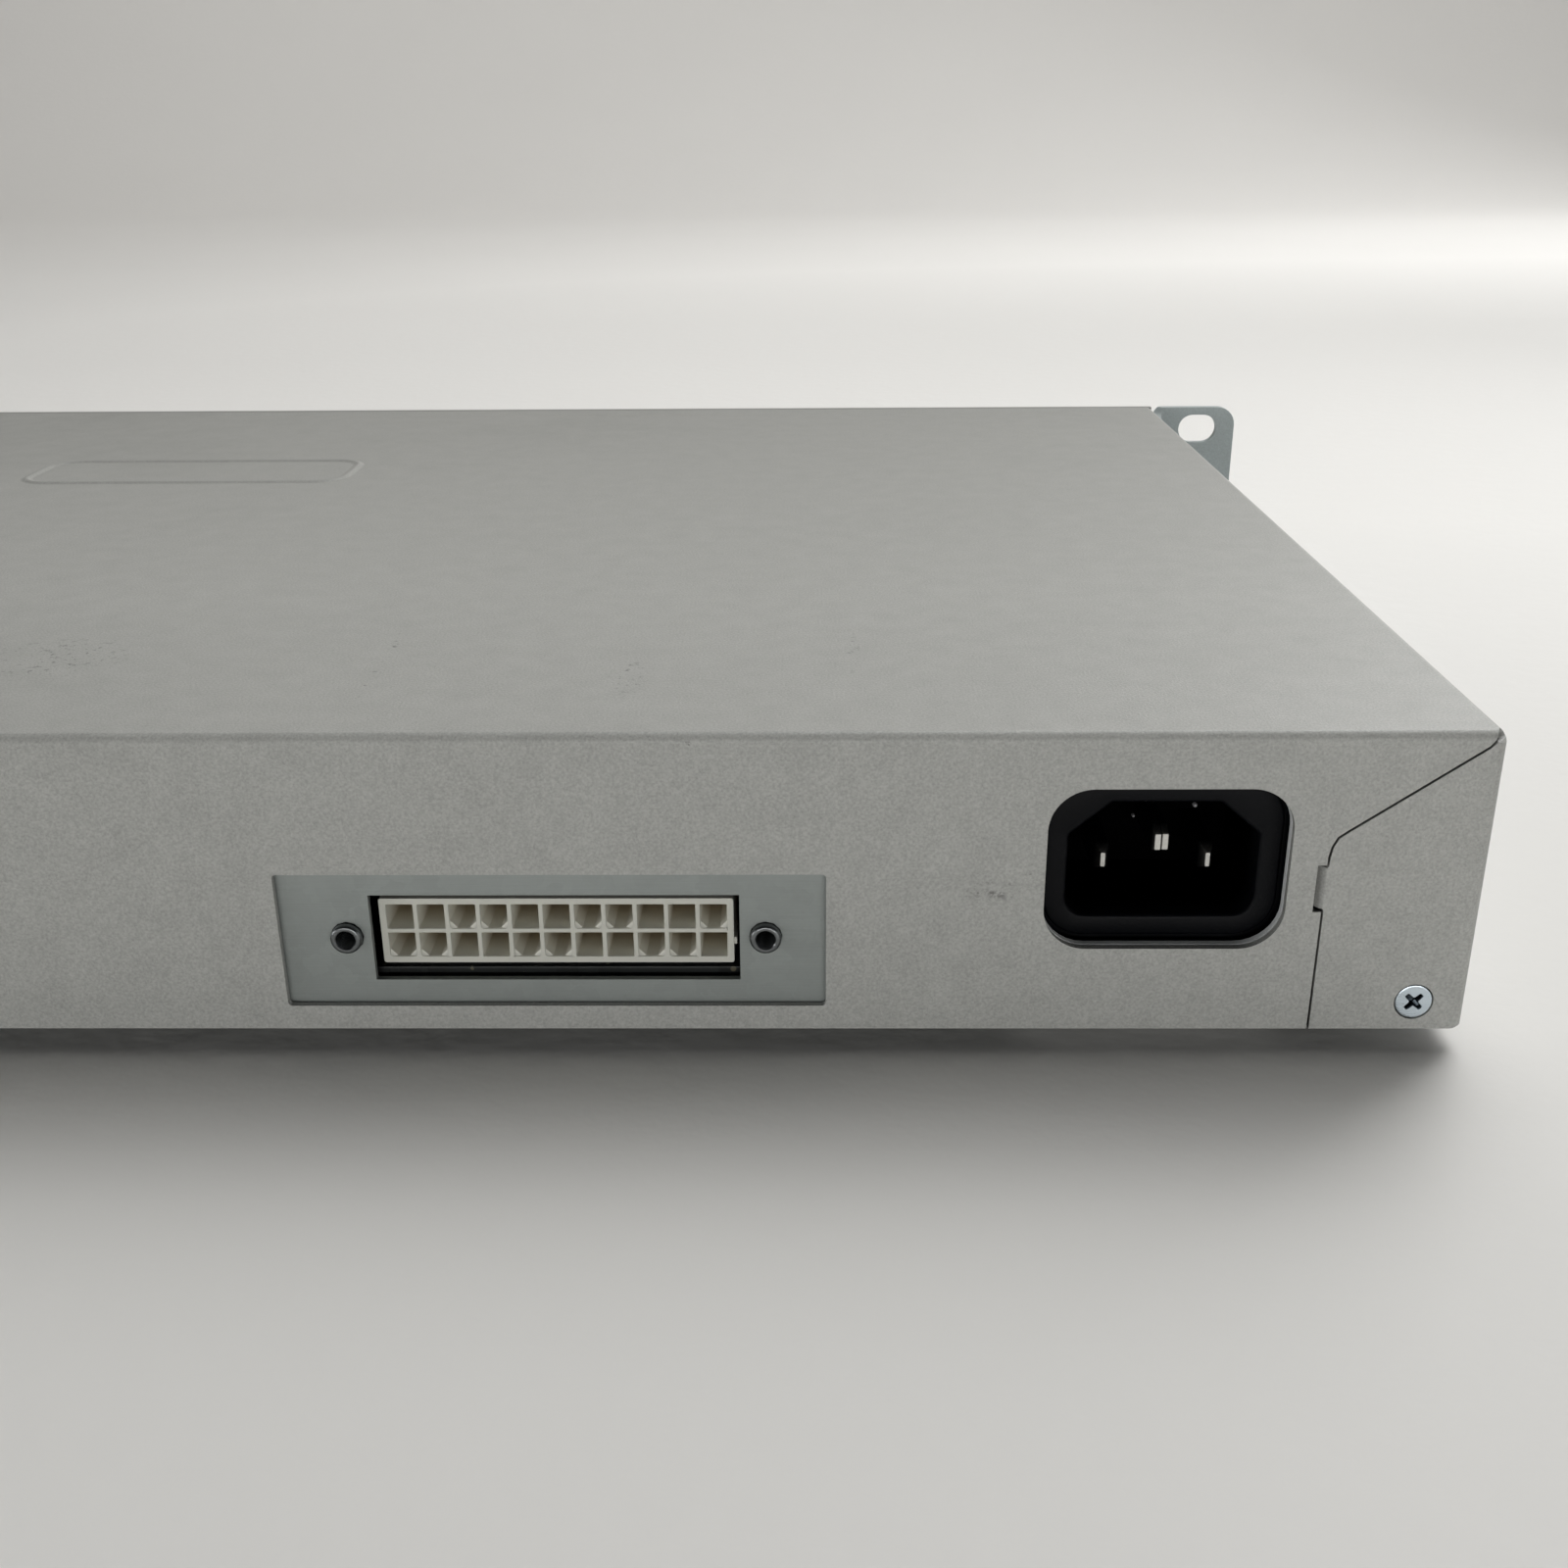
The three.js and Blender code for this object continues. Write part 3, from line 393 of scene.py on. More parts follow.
def drawnGroup():
    # drawing lines: noise stretched along one direction of the stock
    tree, given, result = makeGroup("drawing lines", {"Lines per metre": 4000.0, "Stretch": (0.02, 1.0, 1.0)},
                                    ("Height",))
    along = put(tree, "VectorMath", {"operation": "MULTIPLY"})
    plug(tree, along.inputs[0], given[0])
    plug(tree, along.inputs[1], given[2])
    plug(tree, result[0], noise(tree, along.outputs[0], given[1], 2.0, 0.6))
    return tree


groups = {"grain": sprayGroup(), "film": smudgeGroup(), "specks": speckGroup(),
          "crystals": crystalGroup(), "lines": drawnGroup()}


def use(tree, name, *values):
    made = tree.nodes.new("ShaderNodeGroup")
    made.node_tree = groups[name]
    for socket, value in zip(made.inputs, values):
        plug(tree, socket, value)
    return made.outputs


def newMaterial(name, **surface):
    made = bpy.data.materials.new(name)
    made.use_nodes = True
    tree = made.node_tree
    shader = tree.nodes["Principled BSDF"]
    for key, value in surface.items():
        shader.inputs[key.replace("_", " ")].default_value = value
    position = tree.nodes.new("ShaderNodeTexCoord").outputs["Object"]
    return made, tree, shader, position


def relief(tree, shader, height, depth, strength=1.0, base=None):
    bump = put(tree, "Bump", Strength=strength, Distance=depth * mm, Height=height)
    if base:
        plug(tree, bump.inputs["Normal"], base)
    plug(tree, shader.inputs["Normal"], bump.outputs[0])
    return bump.outputs[0]


def recessShadeMask(tree):  # painted shade: 1 at the bottom of a recess, from the piece's own point attribute
    return put(tree, "Attribute", {"attribute_name": "recessShade", "attribute_type": "GEOMETRY"}).outputs["Fac"]


def behind(tree, position, near, far):  # 0 in front of one depth on the shop's y axis and 1 past another
    apart = put(tree, "SeparateXYZ", Vector=position)
    return spread(tree, apart.outputs[1], shopOrigin[1] + far * mm, shopOrigin[1] + near * mm, 1.0, 0.0)


def spotMask(tree, position, x, y, z, width, height, depth):
    # 1 in the middle of an ellipsoid in shop millimetres and 0 outside it
    centre = (shopOrigin + np.array([x, y, z]) * mm).tolist()
    moved = put(tree, "Mapping", {"vector_type": "TEXTURE"}, Vector=position, Location=centre,
                Scale=(width * mm, depth * mm, height * mm))
    length = put(tree, "VectorMath", {"operation": "LENGTH"})
    plug(tree, length.inputs[0], moved.outputs[0])
    return spread(tree, length.outputs["Value"], 0.3, 1.0, 1.0, 0.0)


paintLook = dict(
    base=(0.40, 0.403, 0.385, 1), film=(0.29, 0.29, 0.27, 1), dark=(0.06, 0.06, 0.055, 1),
    grains=3100, contrast=0.95, bump=0.05, roughness=0.43, filmShare=0.16, dirtShare=0.62,
    frontPaintedShade=0.36, frontDepths=(-60.0, -240.0), seamShadeTone=(0.006, 0.006, 0.006, 1),
    scuffs=[(-156, 0, 20.6, 5.5, 1.9, 2), (-151, 0, 20.0, 3.6, 0.7, 2), (-161.5, 0, 23.2, 2.0, 1.2, 2)],
    marks=[(-24, -32, 42.5, 13, 2, 12), (-71.6, -37.6, 42.5, 1.1, 2, 0.8), (-71.6, -19, 42.5, 0.8, 2, 0.5),
           (-107.2, -22.9, 42.5, 3.2, 2, 0.5), (-138.6, -33.6, 42.5, 1.2, 2, 0.6),
           (-117, 0, 41.2, 6, 2, 0.6)])


def paintFinish(name, look):
    made, tree, shader, position = newMaterial(name, Roughness=look["roughness"], IOR=1.4)
    grain = use(tree, "grain", position, look["grains"], look["contrast"])
    film = use(tree, "film", position, 9.0, 0.42)[0]
    colour = blend(tree, times(tree, film, look["filmShare"]), look["base"], look["film"])
    colour = blend(tree, 1.0, colour, grain[0], "MULTIPLY")
    # painted shade: the paint is darkened towards the front
    farShade = times(tree, behind(tree, position, *look["frontDepths"]), look["frontPaintedShade"])
    colour = blend(tree, farShade, colour, look["dark"])
    # rubbed grey scuffs behind, and groups of dark specks on top
    streaks = use(tree, "lines", position, 900.0, (0.25, 1.0, 1.3))[0]
    rub = dots = 0.0
    for spot in look["scuffs"]:
        rub = calc(tree, "MAXIMUM", rub, spotMask(tree, position, *spot))
    broken = spread(tree, noise(tree, position, 1500.0, 2.0, 0.7), 0.44, 0.6)
    rub = times(tree, times(tree, rub, spread(tree, streaks, 0.44, 0.6)), broken)
    for x, y, z, width, depth, height in look["marks"]:
        dots = calc(tree, "MAXIMUM", dots, spotMask(tree, position, x, y, z, width, height, depth * 6))
    dots = times(tree, dots, spread(tree, noise(tree, position, 900.0, 2.0, 0.7), 0.6, 0.67))
    stray = use(tree, "specks", position, 42.0, 0.30, 0.016)[0]
    dirt = calc(tree, "MAXIMUM", calc(tree, "MAXIMUM", rub, dots), stray)
    colour = blend(tree, times(tree, dirt, look["dirtShare"]), colour, look["dark"])
    # painted shade: the corner seams and the stepped lug are darkened from the recess-shade point attribute
    colour = blend(tree, calc(tree, "POWER", recessShadeMask(tree), 0.5), colour, look["seamShadeTone"])
    plug(tree, shader.inputs["Base Color"], colour)
    plug(tree, shader.inputs["Roughness"],
         plus(tree, look["roughness"] - 0.03, times(tree, film, 0.12)))
    relief(tree, shader, grain[1], look["bump"])
    return made


def plainPaint(name, base, roughness=0.5, grains=2300, bump=0.05):
    made, tree, shader, position = newMaterial(name, Roughness=roughness, IOR=1.47)
    grain = use(tree, "grain", position, grains, 0.5)
    film = use(tree, "film", position, 14.0, 0.4)[0]
    worn = blend(tree, times(tree, film, 0.2), base, tuple(0.72 * c for c in base[:3]) + (1,))
    plug(tree, shader.inputs["Base Color"], blend(tree, 1.0, worn, grain[0], "MULTIPLY"))
    plug(tree, shader.inputs["Roughness"], plus(tree, roughness, times(tree, film, 0.1)))
    relief(tree, shader, grain[1], bump)
    return made


# Galvanised tray: how far from its middle the seams begin, and the cut edge round the inlet with its painted
# highlight, in metres
tray = dict(seamFrom=(0.1955, 0.1965), seamDepths=(-1.5, -1.8), seamShadeTone=(0.02, 0.02, 0.02, 1),
            punchedAt=-178.7, punchedWithin=(0.017, 0.018), punchedHighlightTone=(0.86, 0.88, 0.88, 1),
            punchedMetallic=0.15, recessShadeTone=(0.018, 0.026, 0.034, 1))


def metalFinish(name, base, roughness, crystals, lines, cells=300.0, stretch=(0.02, 1.0, 1.0), metallic=1.0,
                bump=0.004, isTray=False):
    made, tree, shader, position = newMaterial(name, Roughness=roughness, Metallic=metallic)
    spangle = use(tree, "crystals", position, cells, crystals)
    drawn = use(tree, "lines", position, 5200.0, stretch)[0]
    dull = use(tree, "film", position, 30.0, 0.45)[0]
    colour = blend(tree, times(tree, dull, 0.15), base, tuple(0.62 * c for c in base[:3]) + (1,))
    colour = blend(tree, 1.0, colour, spangle[0], "MULTIPLY")
    streaked = blend(tree, 1.0, colour, spread(tree, drawn, 0.2, 0.8, 0.8, 1.2), "MULTIPLY")
    colour = blend(tree, lines, colour, streaked)
    if isTray:
        # the punched edge round the inlet is bare steel, made near white and less metallic as a painted
        # highlight: everything near it in sideways distance
        sideways = put(tree, "SeparateXYZ", Vector=position).outputs[0]
        away = calc(tree, "ABSOLUTE", calc(tree, "SUBTRACT", sideways, tray["punchedAt"] * mm))
        edgeHighlight = spread(tree, away, *tray["punchedWithin"], 1.0, 0.0)
        colour = blend(tree, edgeHighlight, colour, tray["punchedHighlightTone"])
        plug(tree, shader.inputs["Metallic"], spread(tree, edgeHighlight, 0.0, 1.0, metallic,
                                                     tray["punchedMetallic"]))
        # hardly any light gets in between the cover's corner seams and the tray behind them
        outer = spread(tree, calc(tree, "ABSOLUTE", sideways), *tray["seamFrom"])
        shade = times(tree, outer, calc(tree, "SUBTRACT", 1.0, behind(tree, position, *tray["seamDepths"])))
        colour = blend(tree, shade, colour, tray["seamShadeTone"])
    # painted shade on recessed spots, from the piece's own point attribute
    colour = blend(tree, recessShadeMask(tree), colour, tray["recessShadeTone"])
    plug(tree, shader.inputs["Base Color"], colour)
    rough = plus(tree, roughness - 0.04, times(tree, drawn, 0.08))
    rough = plus(tree, rough, times(tree, dull, 0.12))
    plug(tree, shader.inputs["Roughness"], rough)
    both = plus(tree, times(tree, drawn, lines), times(tree, spangle[1], 1.0 - lines))
    relief(tree, shader, both, bump)
    return made


def mouldFinish(name, base, roughness, grains=5000.0, bump=0.006, film=0.2, dust=(0.25, 0.25, 0.24, 1),
                tone=0.08, well=None, face=None):
    made, tree, shader, position = newMaterial(name, Roughness=roughness, IOR=1.5)
    grain = use(tree, "grain", position, grains, tone)
    handled = use(tree, "film", position, 55.0, 0.42)[0]
    specks = use(tree, "specks", position, 900.0, 0.25, 0.12)[0]
    colour = blend(tree, 1.0, base, grain[0], "MULTIPLY")
    colour = blend(tree, times(tree, handled, film * 0.15), colour, dust)
    colour = blend(tree, times(tree, specks, film), colour, dust)
    if face:
        # painted shade: the outer face is a darker grey than the well mouths
        colour = blend(tree, behind(tree, position, face[0], face[1]), face[2], colour)
    if well:
        # painted shade: the colour darkens and the shine falls off down the wells
        near, far, wellShadeColour, shine = well
        depth = behind(tree, position, near, far)
        colour = blend(tree, depth, colour, wellShadeColour)
        plug(tree, shader.inputs["Specular IOR Level"], spread(tree, depth, 0.0, 1.0, *shine))
    plug(tree, shader.inputs["Base Color"], colour)
    plug(tree, shader.inputs["Roughness"],
         plus(tree, roughness, times(tree, calc(tree, "SUBTRACT", handled, 0.3), 0.12)))
    relief(tree, shader, grain[1], bump)
    return made


def boardFinish(name, mask=(0.012, 0.085, 0.035, 1), copper=(0.03, 0.16, 0.065, 1),
                via=(0.55, 0.48, 0.30, 1)):
    # solder mask over copper: broad tracks and pours from squared-off cells, with vias
    made, tree, shader, position = newMaterial(name, Roughness=0.35, Coat_Weight=0.3, Coat_Roughness=0.15)
    tracks = put(tree, "TexVoronoi", {"distance": "CHEBYCHEV", "feature": "F1"}, Vector=position, Scale=260.0)
    lines = spread(tree, tracks.outputs["Distance"], 0.36, 0.40)
    pour = spread(tree, noise(tree, position, 40.0, 1.0), 0.48, 0.52)
    vias = use(tree, "specks", position, 420.0, 0.4, 0.22)[0]
    colour = blend(tree, lines, mask, copper)
    colour = blend(tree, times(tree, pour, 0.35), colour, blend(tree, 0.5, mask, copper))
    colour = blend(tree, vias, colour, via)
    plug(tree, shader.inputs["Base Color"], colour)
    relief(tree, shader, plus(tree, lines, vias), 0.03)
    return made


def windingFinish(name, base, turns=2600.0):
    # enamelled wire: bands along the winding with a dark line between the turns
    made, tree, shader, position = newMaterial(name, Roughness=0.3, Metallic=0.6)
    bands = put(tree, "TexWave", {"wave_type": "BANDS", "bands_direction": "Z"}, Vector=position,
                Scale=turns / 20, Distortion=0.4, Detail=1.0)
    tone = spread(tree, bands.outputs[1], 0.1, 0.5, 0.3, 1.0)
    plug(tree, shader.inputs["Base Color"], blend(tree, 1.0, base, tone, "MULTIPLY"))
    relief(tree, shader, bands.outputs[1], 0.1)
    return made


def clearFinish(name):
    made, tree, shader, position = newMaterial(name, Roughness=0.12, IOR=1.49, Transmission_Weight=0.85)
    haze = noise(tree, position, 700.0, 3.0)
    plug(tree, shader.inputs["Base Color"], blend(tree, haze, (0.86, 0.9, 0.9, 1), (0.95, 0.97, 0.97, 1)))
    plug(tree, shader.inputs["Roughness"], spread(tree, haze, 0.2, 0.8, 0.08, 0.22))
    return made


finishes = {
    "cover_paint": paintFinish("cover paint", paintLook),
    "galvanised_steel": metalFinish("galvanised steel", (0.30, 0.322, 0.312, 1), 0.5, 0.10, 0.25, 420.0,
                                    metallic=0.6, bump=0.012, isTray=True),
    "ear_steel": plainPaint("ear paint", (0.35, 0.395, 0.40, 1), 0.42),
    "zinc_screw": metalFinish("bright zinc", (0.62, 0.70, 0.76, 1), 0.27, 0.08, 0.2, 2500.0),
    "tinned_contacts": metalFinish("tin plate", (0.80, 0.78, 0.72, 1), 0.24, 0.1, 0.3, 1500.0),
    "bright_steel": metalFinish("nickel plate", (0.66, 0.66, 0.64, 1), 0.22, 0.06, 0.3, 900.0),
    "oiled_nut": metalFinish("oiled steel nut", (0.20, 0.21, 0.215, 1), 0.25, 0.06, 0.3, 900.0),
    "black_moulding": mouldFinish("black moulding", (0.010, 0.010, 0.011, 1), 0.42, 3600.0, 0.014, 0.35),
    # painted shade: the inlet's well turns near black and loses its shine with depth
    "inlet_moulding": mouldFinish("inlet moulding", (0.0016, 0.0019, 0.0030, 1), 0.48, 3600.0, 0.03, 0.05,
                                  (0.08, 0.08, 0.09, 1),
                                  well=(-4.2, -8.5, (0.0003, 0.0003, 0.0004, 1), (0.12, 0.01))),
    "pin_plate": metalFinish("pin plate", (0.62, 0.61, 0.58, 1), 0.3, 0.1, 0.3, 1500.0),
    # painted glints: the gate marks are a lighter grey than the black inlet moulding
    "gate_mark_glints": mouldFinish("gate mark glints", (0.20, 0.20, 0.21, 1), 0.3, 3600.0, 0.02, 0.3),
    # painted shade: the ivory wells darken to brown with depth, and the outer face is a darker grey
    "ivory_moulding": mouldFinish("ivory nylon", (0.88, 0.87, 0.79, 1), 0.45, 2500.0, 0.004, 0.1,
                                  (0.3, 0.27, 0.2, 1), 0.12,
                                  well=(-4.6, -12.0, (0.42, 0.33, 0.20, 1), (0.4, 0.2)),
                                  face=(-3.1, -3.4, (0.60, 0.60, 0.54, 1))),
    "clear_moulding": clearFinish("clear acrylic"),
    "foot_rubber": mouldFinish("foot rubber", (0.018, 0.018, 0.018, 1), 0.78, 2600.0, 0.05, 0.8),
    "circuit_board": boardFinish("circuit board"),
    # painted shade: the backup board is near black so the gap under the connector reads dark
    "shadow_black_board": boardFinish("shadow black board", (0.006, 0.007, 0.007, 1), (0.012, 0.014, 0.014, 1),
                              (0.1, 0.09, 0.06, 1)),
    "heatsink_aluminium": metalFinish("extruded aluminium", (0.60, 0.62, 0.63, 1), 0.36, 0.0, 0.8,
                                      stretch=(1.0, 0.02, 1.0), bump=0.02),
    "ferrite_core": mouldFinish("ferrite", (0.045, 0.042, 0.040, 1), 0.6, 1600.0, 0.05, 0.3, tone=0.4),
    "copper_winding": windingFinish("enamelled copper", (0.46, 0.16, 0.05, 1)),
    "capacitor_sleeve": mouldFinish("shrink sleeve", (0.020, 0.030, 0.075, 1), 0.28, 1200.0, 0.01, 0.2),
    "wire_insulation": mouldFinish("wire insulation", (0.11, 0.035, 0.015, 1), 0.4, 1800.0, 0.01, 0.2),
    "gold_contacts": metalFinish("gold plate", (0.86, 0.60, 0.26, 1), 0.22, 0.05, 0.2, 1500.0, bump=0.003),
}
print("stage: finishes ready")


# Camera, floor and light

view = dict(place=(-132.15, 196.36, 116.54), yaw=-0.8873, pitch=22.364, roll=-0.4472, lens=38.363)
studio = dict(floorTone=(0.83, 0.82, 0.80, 1), fill=0.008, floorNear=2.5, wallFrom=-1.6, curve=0.8,
              wallTop=4.0, halfWidth=4.0, worn=dict(Location=(-0.7, -0.6, 0.0), Scale=(1.0, 0.45, 0.6)),
              ovalShade=0.27)
lights = {
    # place, aim, size, power and colour of each soft box
    "key light": ((-0.42, -0.35, 1.0), (-0.15, 0.0, 0), (0.8, 0.8), 6.8, (1.0, 1.0, 0.985)),
    "side light": ((-0.95, -1.0, 1.35), (-0.15, 0.0, 0), (0.9, 0.9), 10.5, (1.0, 1.0, 0.99)),
    "low side light": ((-1.2, -1.35, 0.85), (-0.15, 0.0, 0), (0.9, 0.8), 5.0, (1.0, 1.0, 1.0)),
    "right card": ((-1.7, 0.12, 0.34), (-0.2, 0.0, 0.02), (0.6, 0.4), 2.4, (1.0, 1.0, 1.0)),
    "front card": ((-0.3, 1.9, 0.14), (-0.1, 0.0, 0.05), (2.4, 0.24), 13.8, (1.0, 1.0, 0.98)),
    "left card": ((1.3, 0.75, 0.16), (-0.1, 0.0, 0.02), (0.7, 0.26), 4.0, (1.0, 1.0, 1.0)),
    "wall light": ((0.9, -1.3, 1.9), (0.85, -2.6, 0.95), (1.5, 0.8), 11, (1.0, 0.985, 0.955)),
    "far wall light": ((-1.3, -1.3, 1.8), (-1.35, -2.6, 0.95), (1.0, 0.8), 11, (1.0, 0.985, 0.96)),
}


def aimCamera():
    yaw, pitch, roll = np.radians([view["yaw"], view["pitch"], view["roll"]])
    # looking along -y; the row's x runs to the left of the picture
    forward = np.array([-np.sin(yaw) * np.cos(pitch), -np.cos(yaw) * np.cos(pitch), -np.sin(pitch)])
    right = np.array([-np.cos(yaw), np.sin(yaw), 0])
    up = np.cross(right, forward)
    x = right * np.cos(roll) + up * np.sin(roll)
    y = up * np.cos(roll) - right * np.sin(roll)
    lens = bpy.data.cameras.new("view")
    lens.lens, lens.sensor_width, lens.clip_start = view["lens"], 36, 0.01
    camera = bpy.data.objects.new("view", lens)
    turn = Matrix(np.stack([x, y, -forward], 1).tolist()).to_4x4()
    turn.translation = Vector((shopOrigin + np.array(view["place"]) * mm).tolist())
    camera.matrix_world = turn
    bpy.context.scene.collection.objects.link(camera)
    bpy.context.scene.camera = camera


def softBox(name, place, aim, size, power, colour):
    lamp = bpy.data.lights.new(name, "AREA")
    lamp.shape, lamp.size, lamp.size_y, lamp.energy, lamp.color = "RECTANGLE", *size, power, colour
    holder = bpy.data.objects.new(name, lamp)
    holder.location = place
    holder.rotation_euler = (Vector(aim) - Vector(place)).to_track_quat("-Z", "Y").to_euler()
    bpy.context.scene.collection.objects.link(holder)


def makeStudio():
    # a sweep: flat floor, then an arc up to a wall, far behind the front panel
    start, r = studio["wallFrom"], studio["curve"]
    a = np.linspace(0.1, quarter, 14)
    reach = np.concatenate([np.linspace(studio["floorNear"], start, 12), start - r * np.sin(a), [start - r]])
    rise = np.concatenate([np.zeros(12), r * (1 - np.cos(a)), [studio["wallTop"]]])
    x = np.linspace(-studio["halfWidth"], studio["halfWidth"], 9)
    points = np.stack([np.tile(x, len(reach)), np.repeat(reach, 9), np.repeat(rise, 9)], 1)
    mesh = bpy.data.meshes.new("studio_sweep")
    mesh.from_pydata(points.tolist(), [], gridFaces(len(reach), 9, False).tolist())
    mesh.shade_smooth()
    made, tree, shader, position = newMaterial("studio paper", Roughness=0.75)
    mottle = noise(tree, position, 5.0, 4.0)
    tone = blend(tree, mottle, studio["floorTone"], tuple(0.97 * c for c in studio["floorTone"][:3]) + (1,))
    # painted shade: the paper is darker in an oval behind and to the right
    worn = put(tree, "Mapping", {"vector_type": "TEXTURE"}, Vector=position, **studio["worn"])
    away = put(tree, "VectorMath", {"operation": "LENGTH"})
    plug(tree, away.inputs[0], worn.outputs[0])
    tone = blend(tree, spread(tree, away.outputs["Value"], 0.2, 1.0, studio["ovalShade"], 0.0), tone, (0, 0, 0, 1))
    plug(tree, shader.inputs["Base Color"], tone)
    relief(tree, shader, noise(tree, position, 160.0, 3.0), 0.15)
    mesh.materials.append(made)
    sweep = bpy.data.objects.new("studio_sweep", mesh)
    bpy.context.scene.collection.objects.link(sweep)
    for name, facts in lights.items():
        softBox(name, *facts)
    world = bpy.data.worlds.new("studio air")
    world.use_nodes = True
    air = world.node_tree.nodes["Background"].inputs
    air["Color"].default_value, air["Strength"].default_value = (0.96, 0.98, 1.0, 1), studio["fill"]
    bpy.context.scene.world = world
    bpy.context.scene.view_settings.view_transform = "Standard"


aimCamera()
makeStudio()
print("stage: camera and studio ready")


# The cover: one sheet, cut flat and folded

cover = dict(side=220.0, depth=235.6, height=42.5, sheet=1.0, bend=1.3, slit=0.34, windowCorner=0.5,
             window=(-134.5, -62.0, 3.5, 23.0), inlet=(-178.7, 23.5, 31.5, 22.8, 5.8), inletSteps=14,
             screwInset=7.0, screwZ=4.1, screwHole=2.62, earHole=1.9,
             seam=[(1.6, 41.35), (2.3, 40.5), (18.6, 29.0), (19.8, 28.1), (20.4, 26.8), (20.65, 25.4),
                   (20.7, 24.2), (20.7, 0.0)],
             notch=(20.85, 22.0, 17.5, 24.2), lug=(17.95, 23.85, 23.8), lugStep=1.4, lugSlope=1.6,
             lugStart=20.0, lugRoot=20.3, lugNeck=20.55, lugCorner=0.7, lugShade=(194.0, 199.6, 17.5, 24.3),
             cornerDip=0.4, cornerFrom=-0.35, cornerHalf=1.5, nickAt=(1.05, 0.1), nick=0.85, nickTurn=0.25,
             ventWidth=3.2, ventCorner=1.3, ventLow=9.0, ventHigh=33.0, exhaust=-116.0, intake=-206.0,
             ventPitch=6.0, vents=16, sideScrewY=(-25.0, -196.0), sideScrewZ=6.5, earScrewY=(-226.0, -207.0),
             earScrewZ=21.0)
bendLength = cover["bend"] * quarter
flatSide = cover["side"] - cover["bend"]
flatTop = cover["height"] - cover["bend"]


def bendTravel(past):  # distance past the start of a right-angle bend: travel ahead, drop, and angle turned
    r = cover["bend"]
    angle = np.clip(past / r, 0, quarter)
    ahead = np.where(past < 0, past, r * np.sin(angle))
    return ahead, r * (1 - np.cos(angle)) + np.maximum(past - bendLength, 0), angle


def sheetDown(z):  # pattern distance of a height on any of the upright walls
    return bendLength + flatTop - z


def onSide(z):  # pattern distance from the middle of a height on a side wall
    return flatSide + sheetDown(z)


def foldCover(pattern, depth):
    # top and sides bend about y; the rear flap bends about x; the corner flanges bend about z from the sides
    s, t = pattern[:, 0], pattern[:, 1]
    sign = np.sign(s)
    aheadS, dropS, angleS = bendTravel(np.abs(s) - flatSide)
    aheadT, dropT, angleT = bendTravel(t + cover["bend"])
    zero = np.zeros(len(s))
    top = np.stack([sign * (flatSide + aheadS), t, cover["height"] - dropS], 1)
    topOut = np.stack([sign * np.sin(angleS), zero, np.cos(angleS)], 1)
    rear = np.stack([s, aheadT - cover["bend"], cover["height"] - dropT], 1)
    rearOut = np.stack([zero, np.sin(angleT), np.cos(angleT)], 1)
    step = cover["lugStep"] * smooth((dropT - cover["seam"][-1][0]) / cover["lugSlope"])
    corner = np.stack([sign * (cover["side"] - dropT), aheadT - cover["bend"] - step,
                       flatTop + bendLength - (np.abs(s) - flatSide)], 1)
    cornerOut = np.stack([sign * np.cos(angleT), np.sin(angleT), zero], 1)
    past = t > -cover["bend"] + 1e-9
    outside = np.abs(s) > flatSide + 1.0
    isCorner, isRear = (past & outside)[:, None], (past & ~outside)[:, None]
    place = np.where(isCorner, corner, np.where(isRear, rear, top))
    out = np.where(isCorner, cornerOut, np.where(isRear, rearOut, topOut))
    return place - out * depth


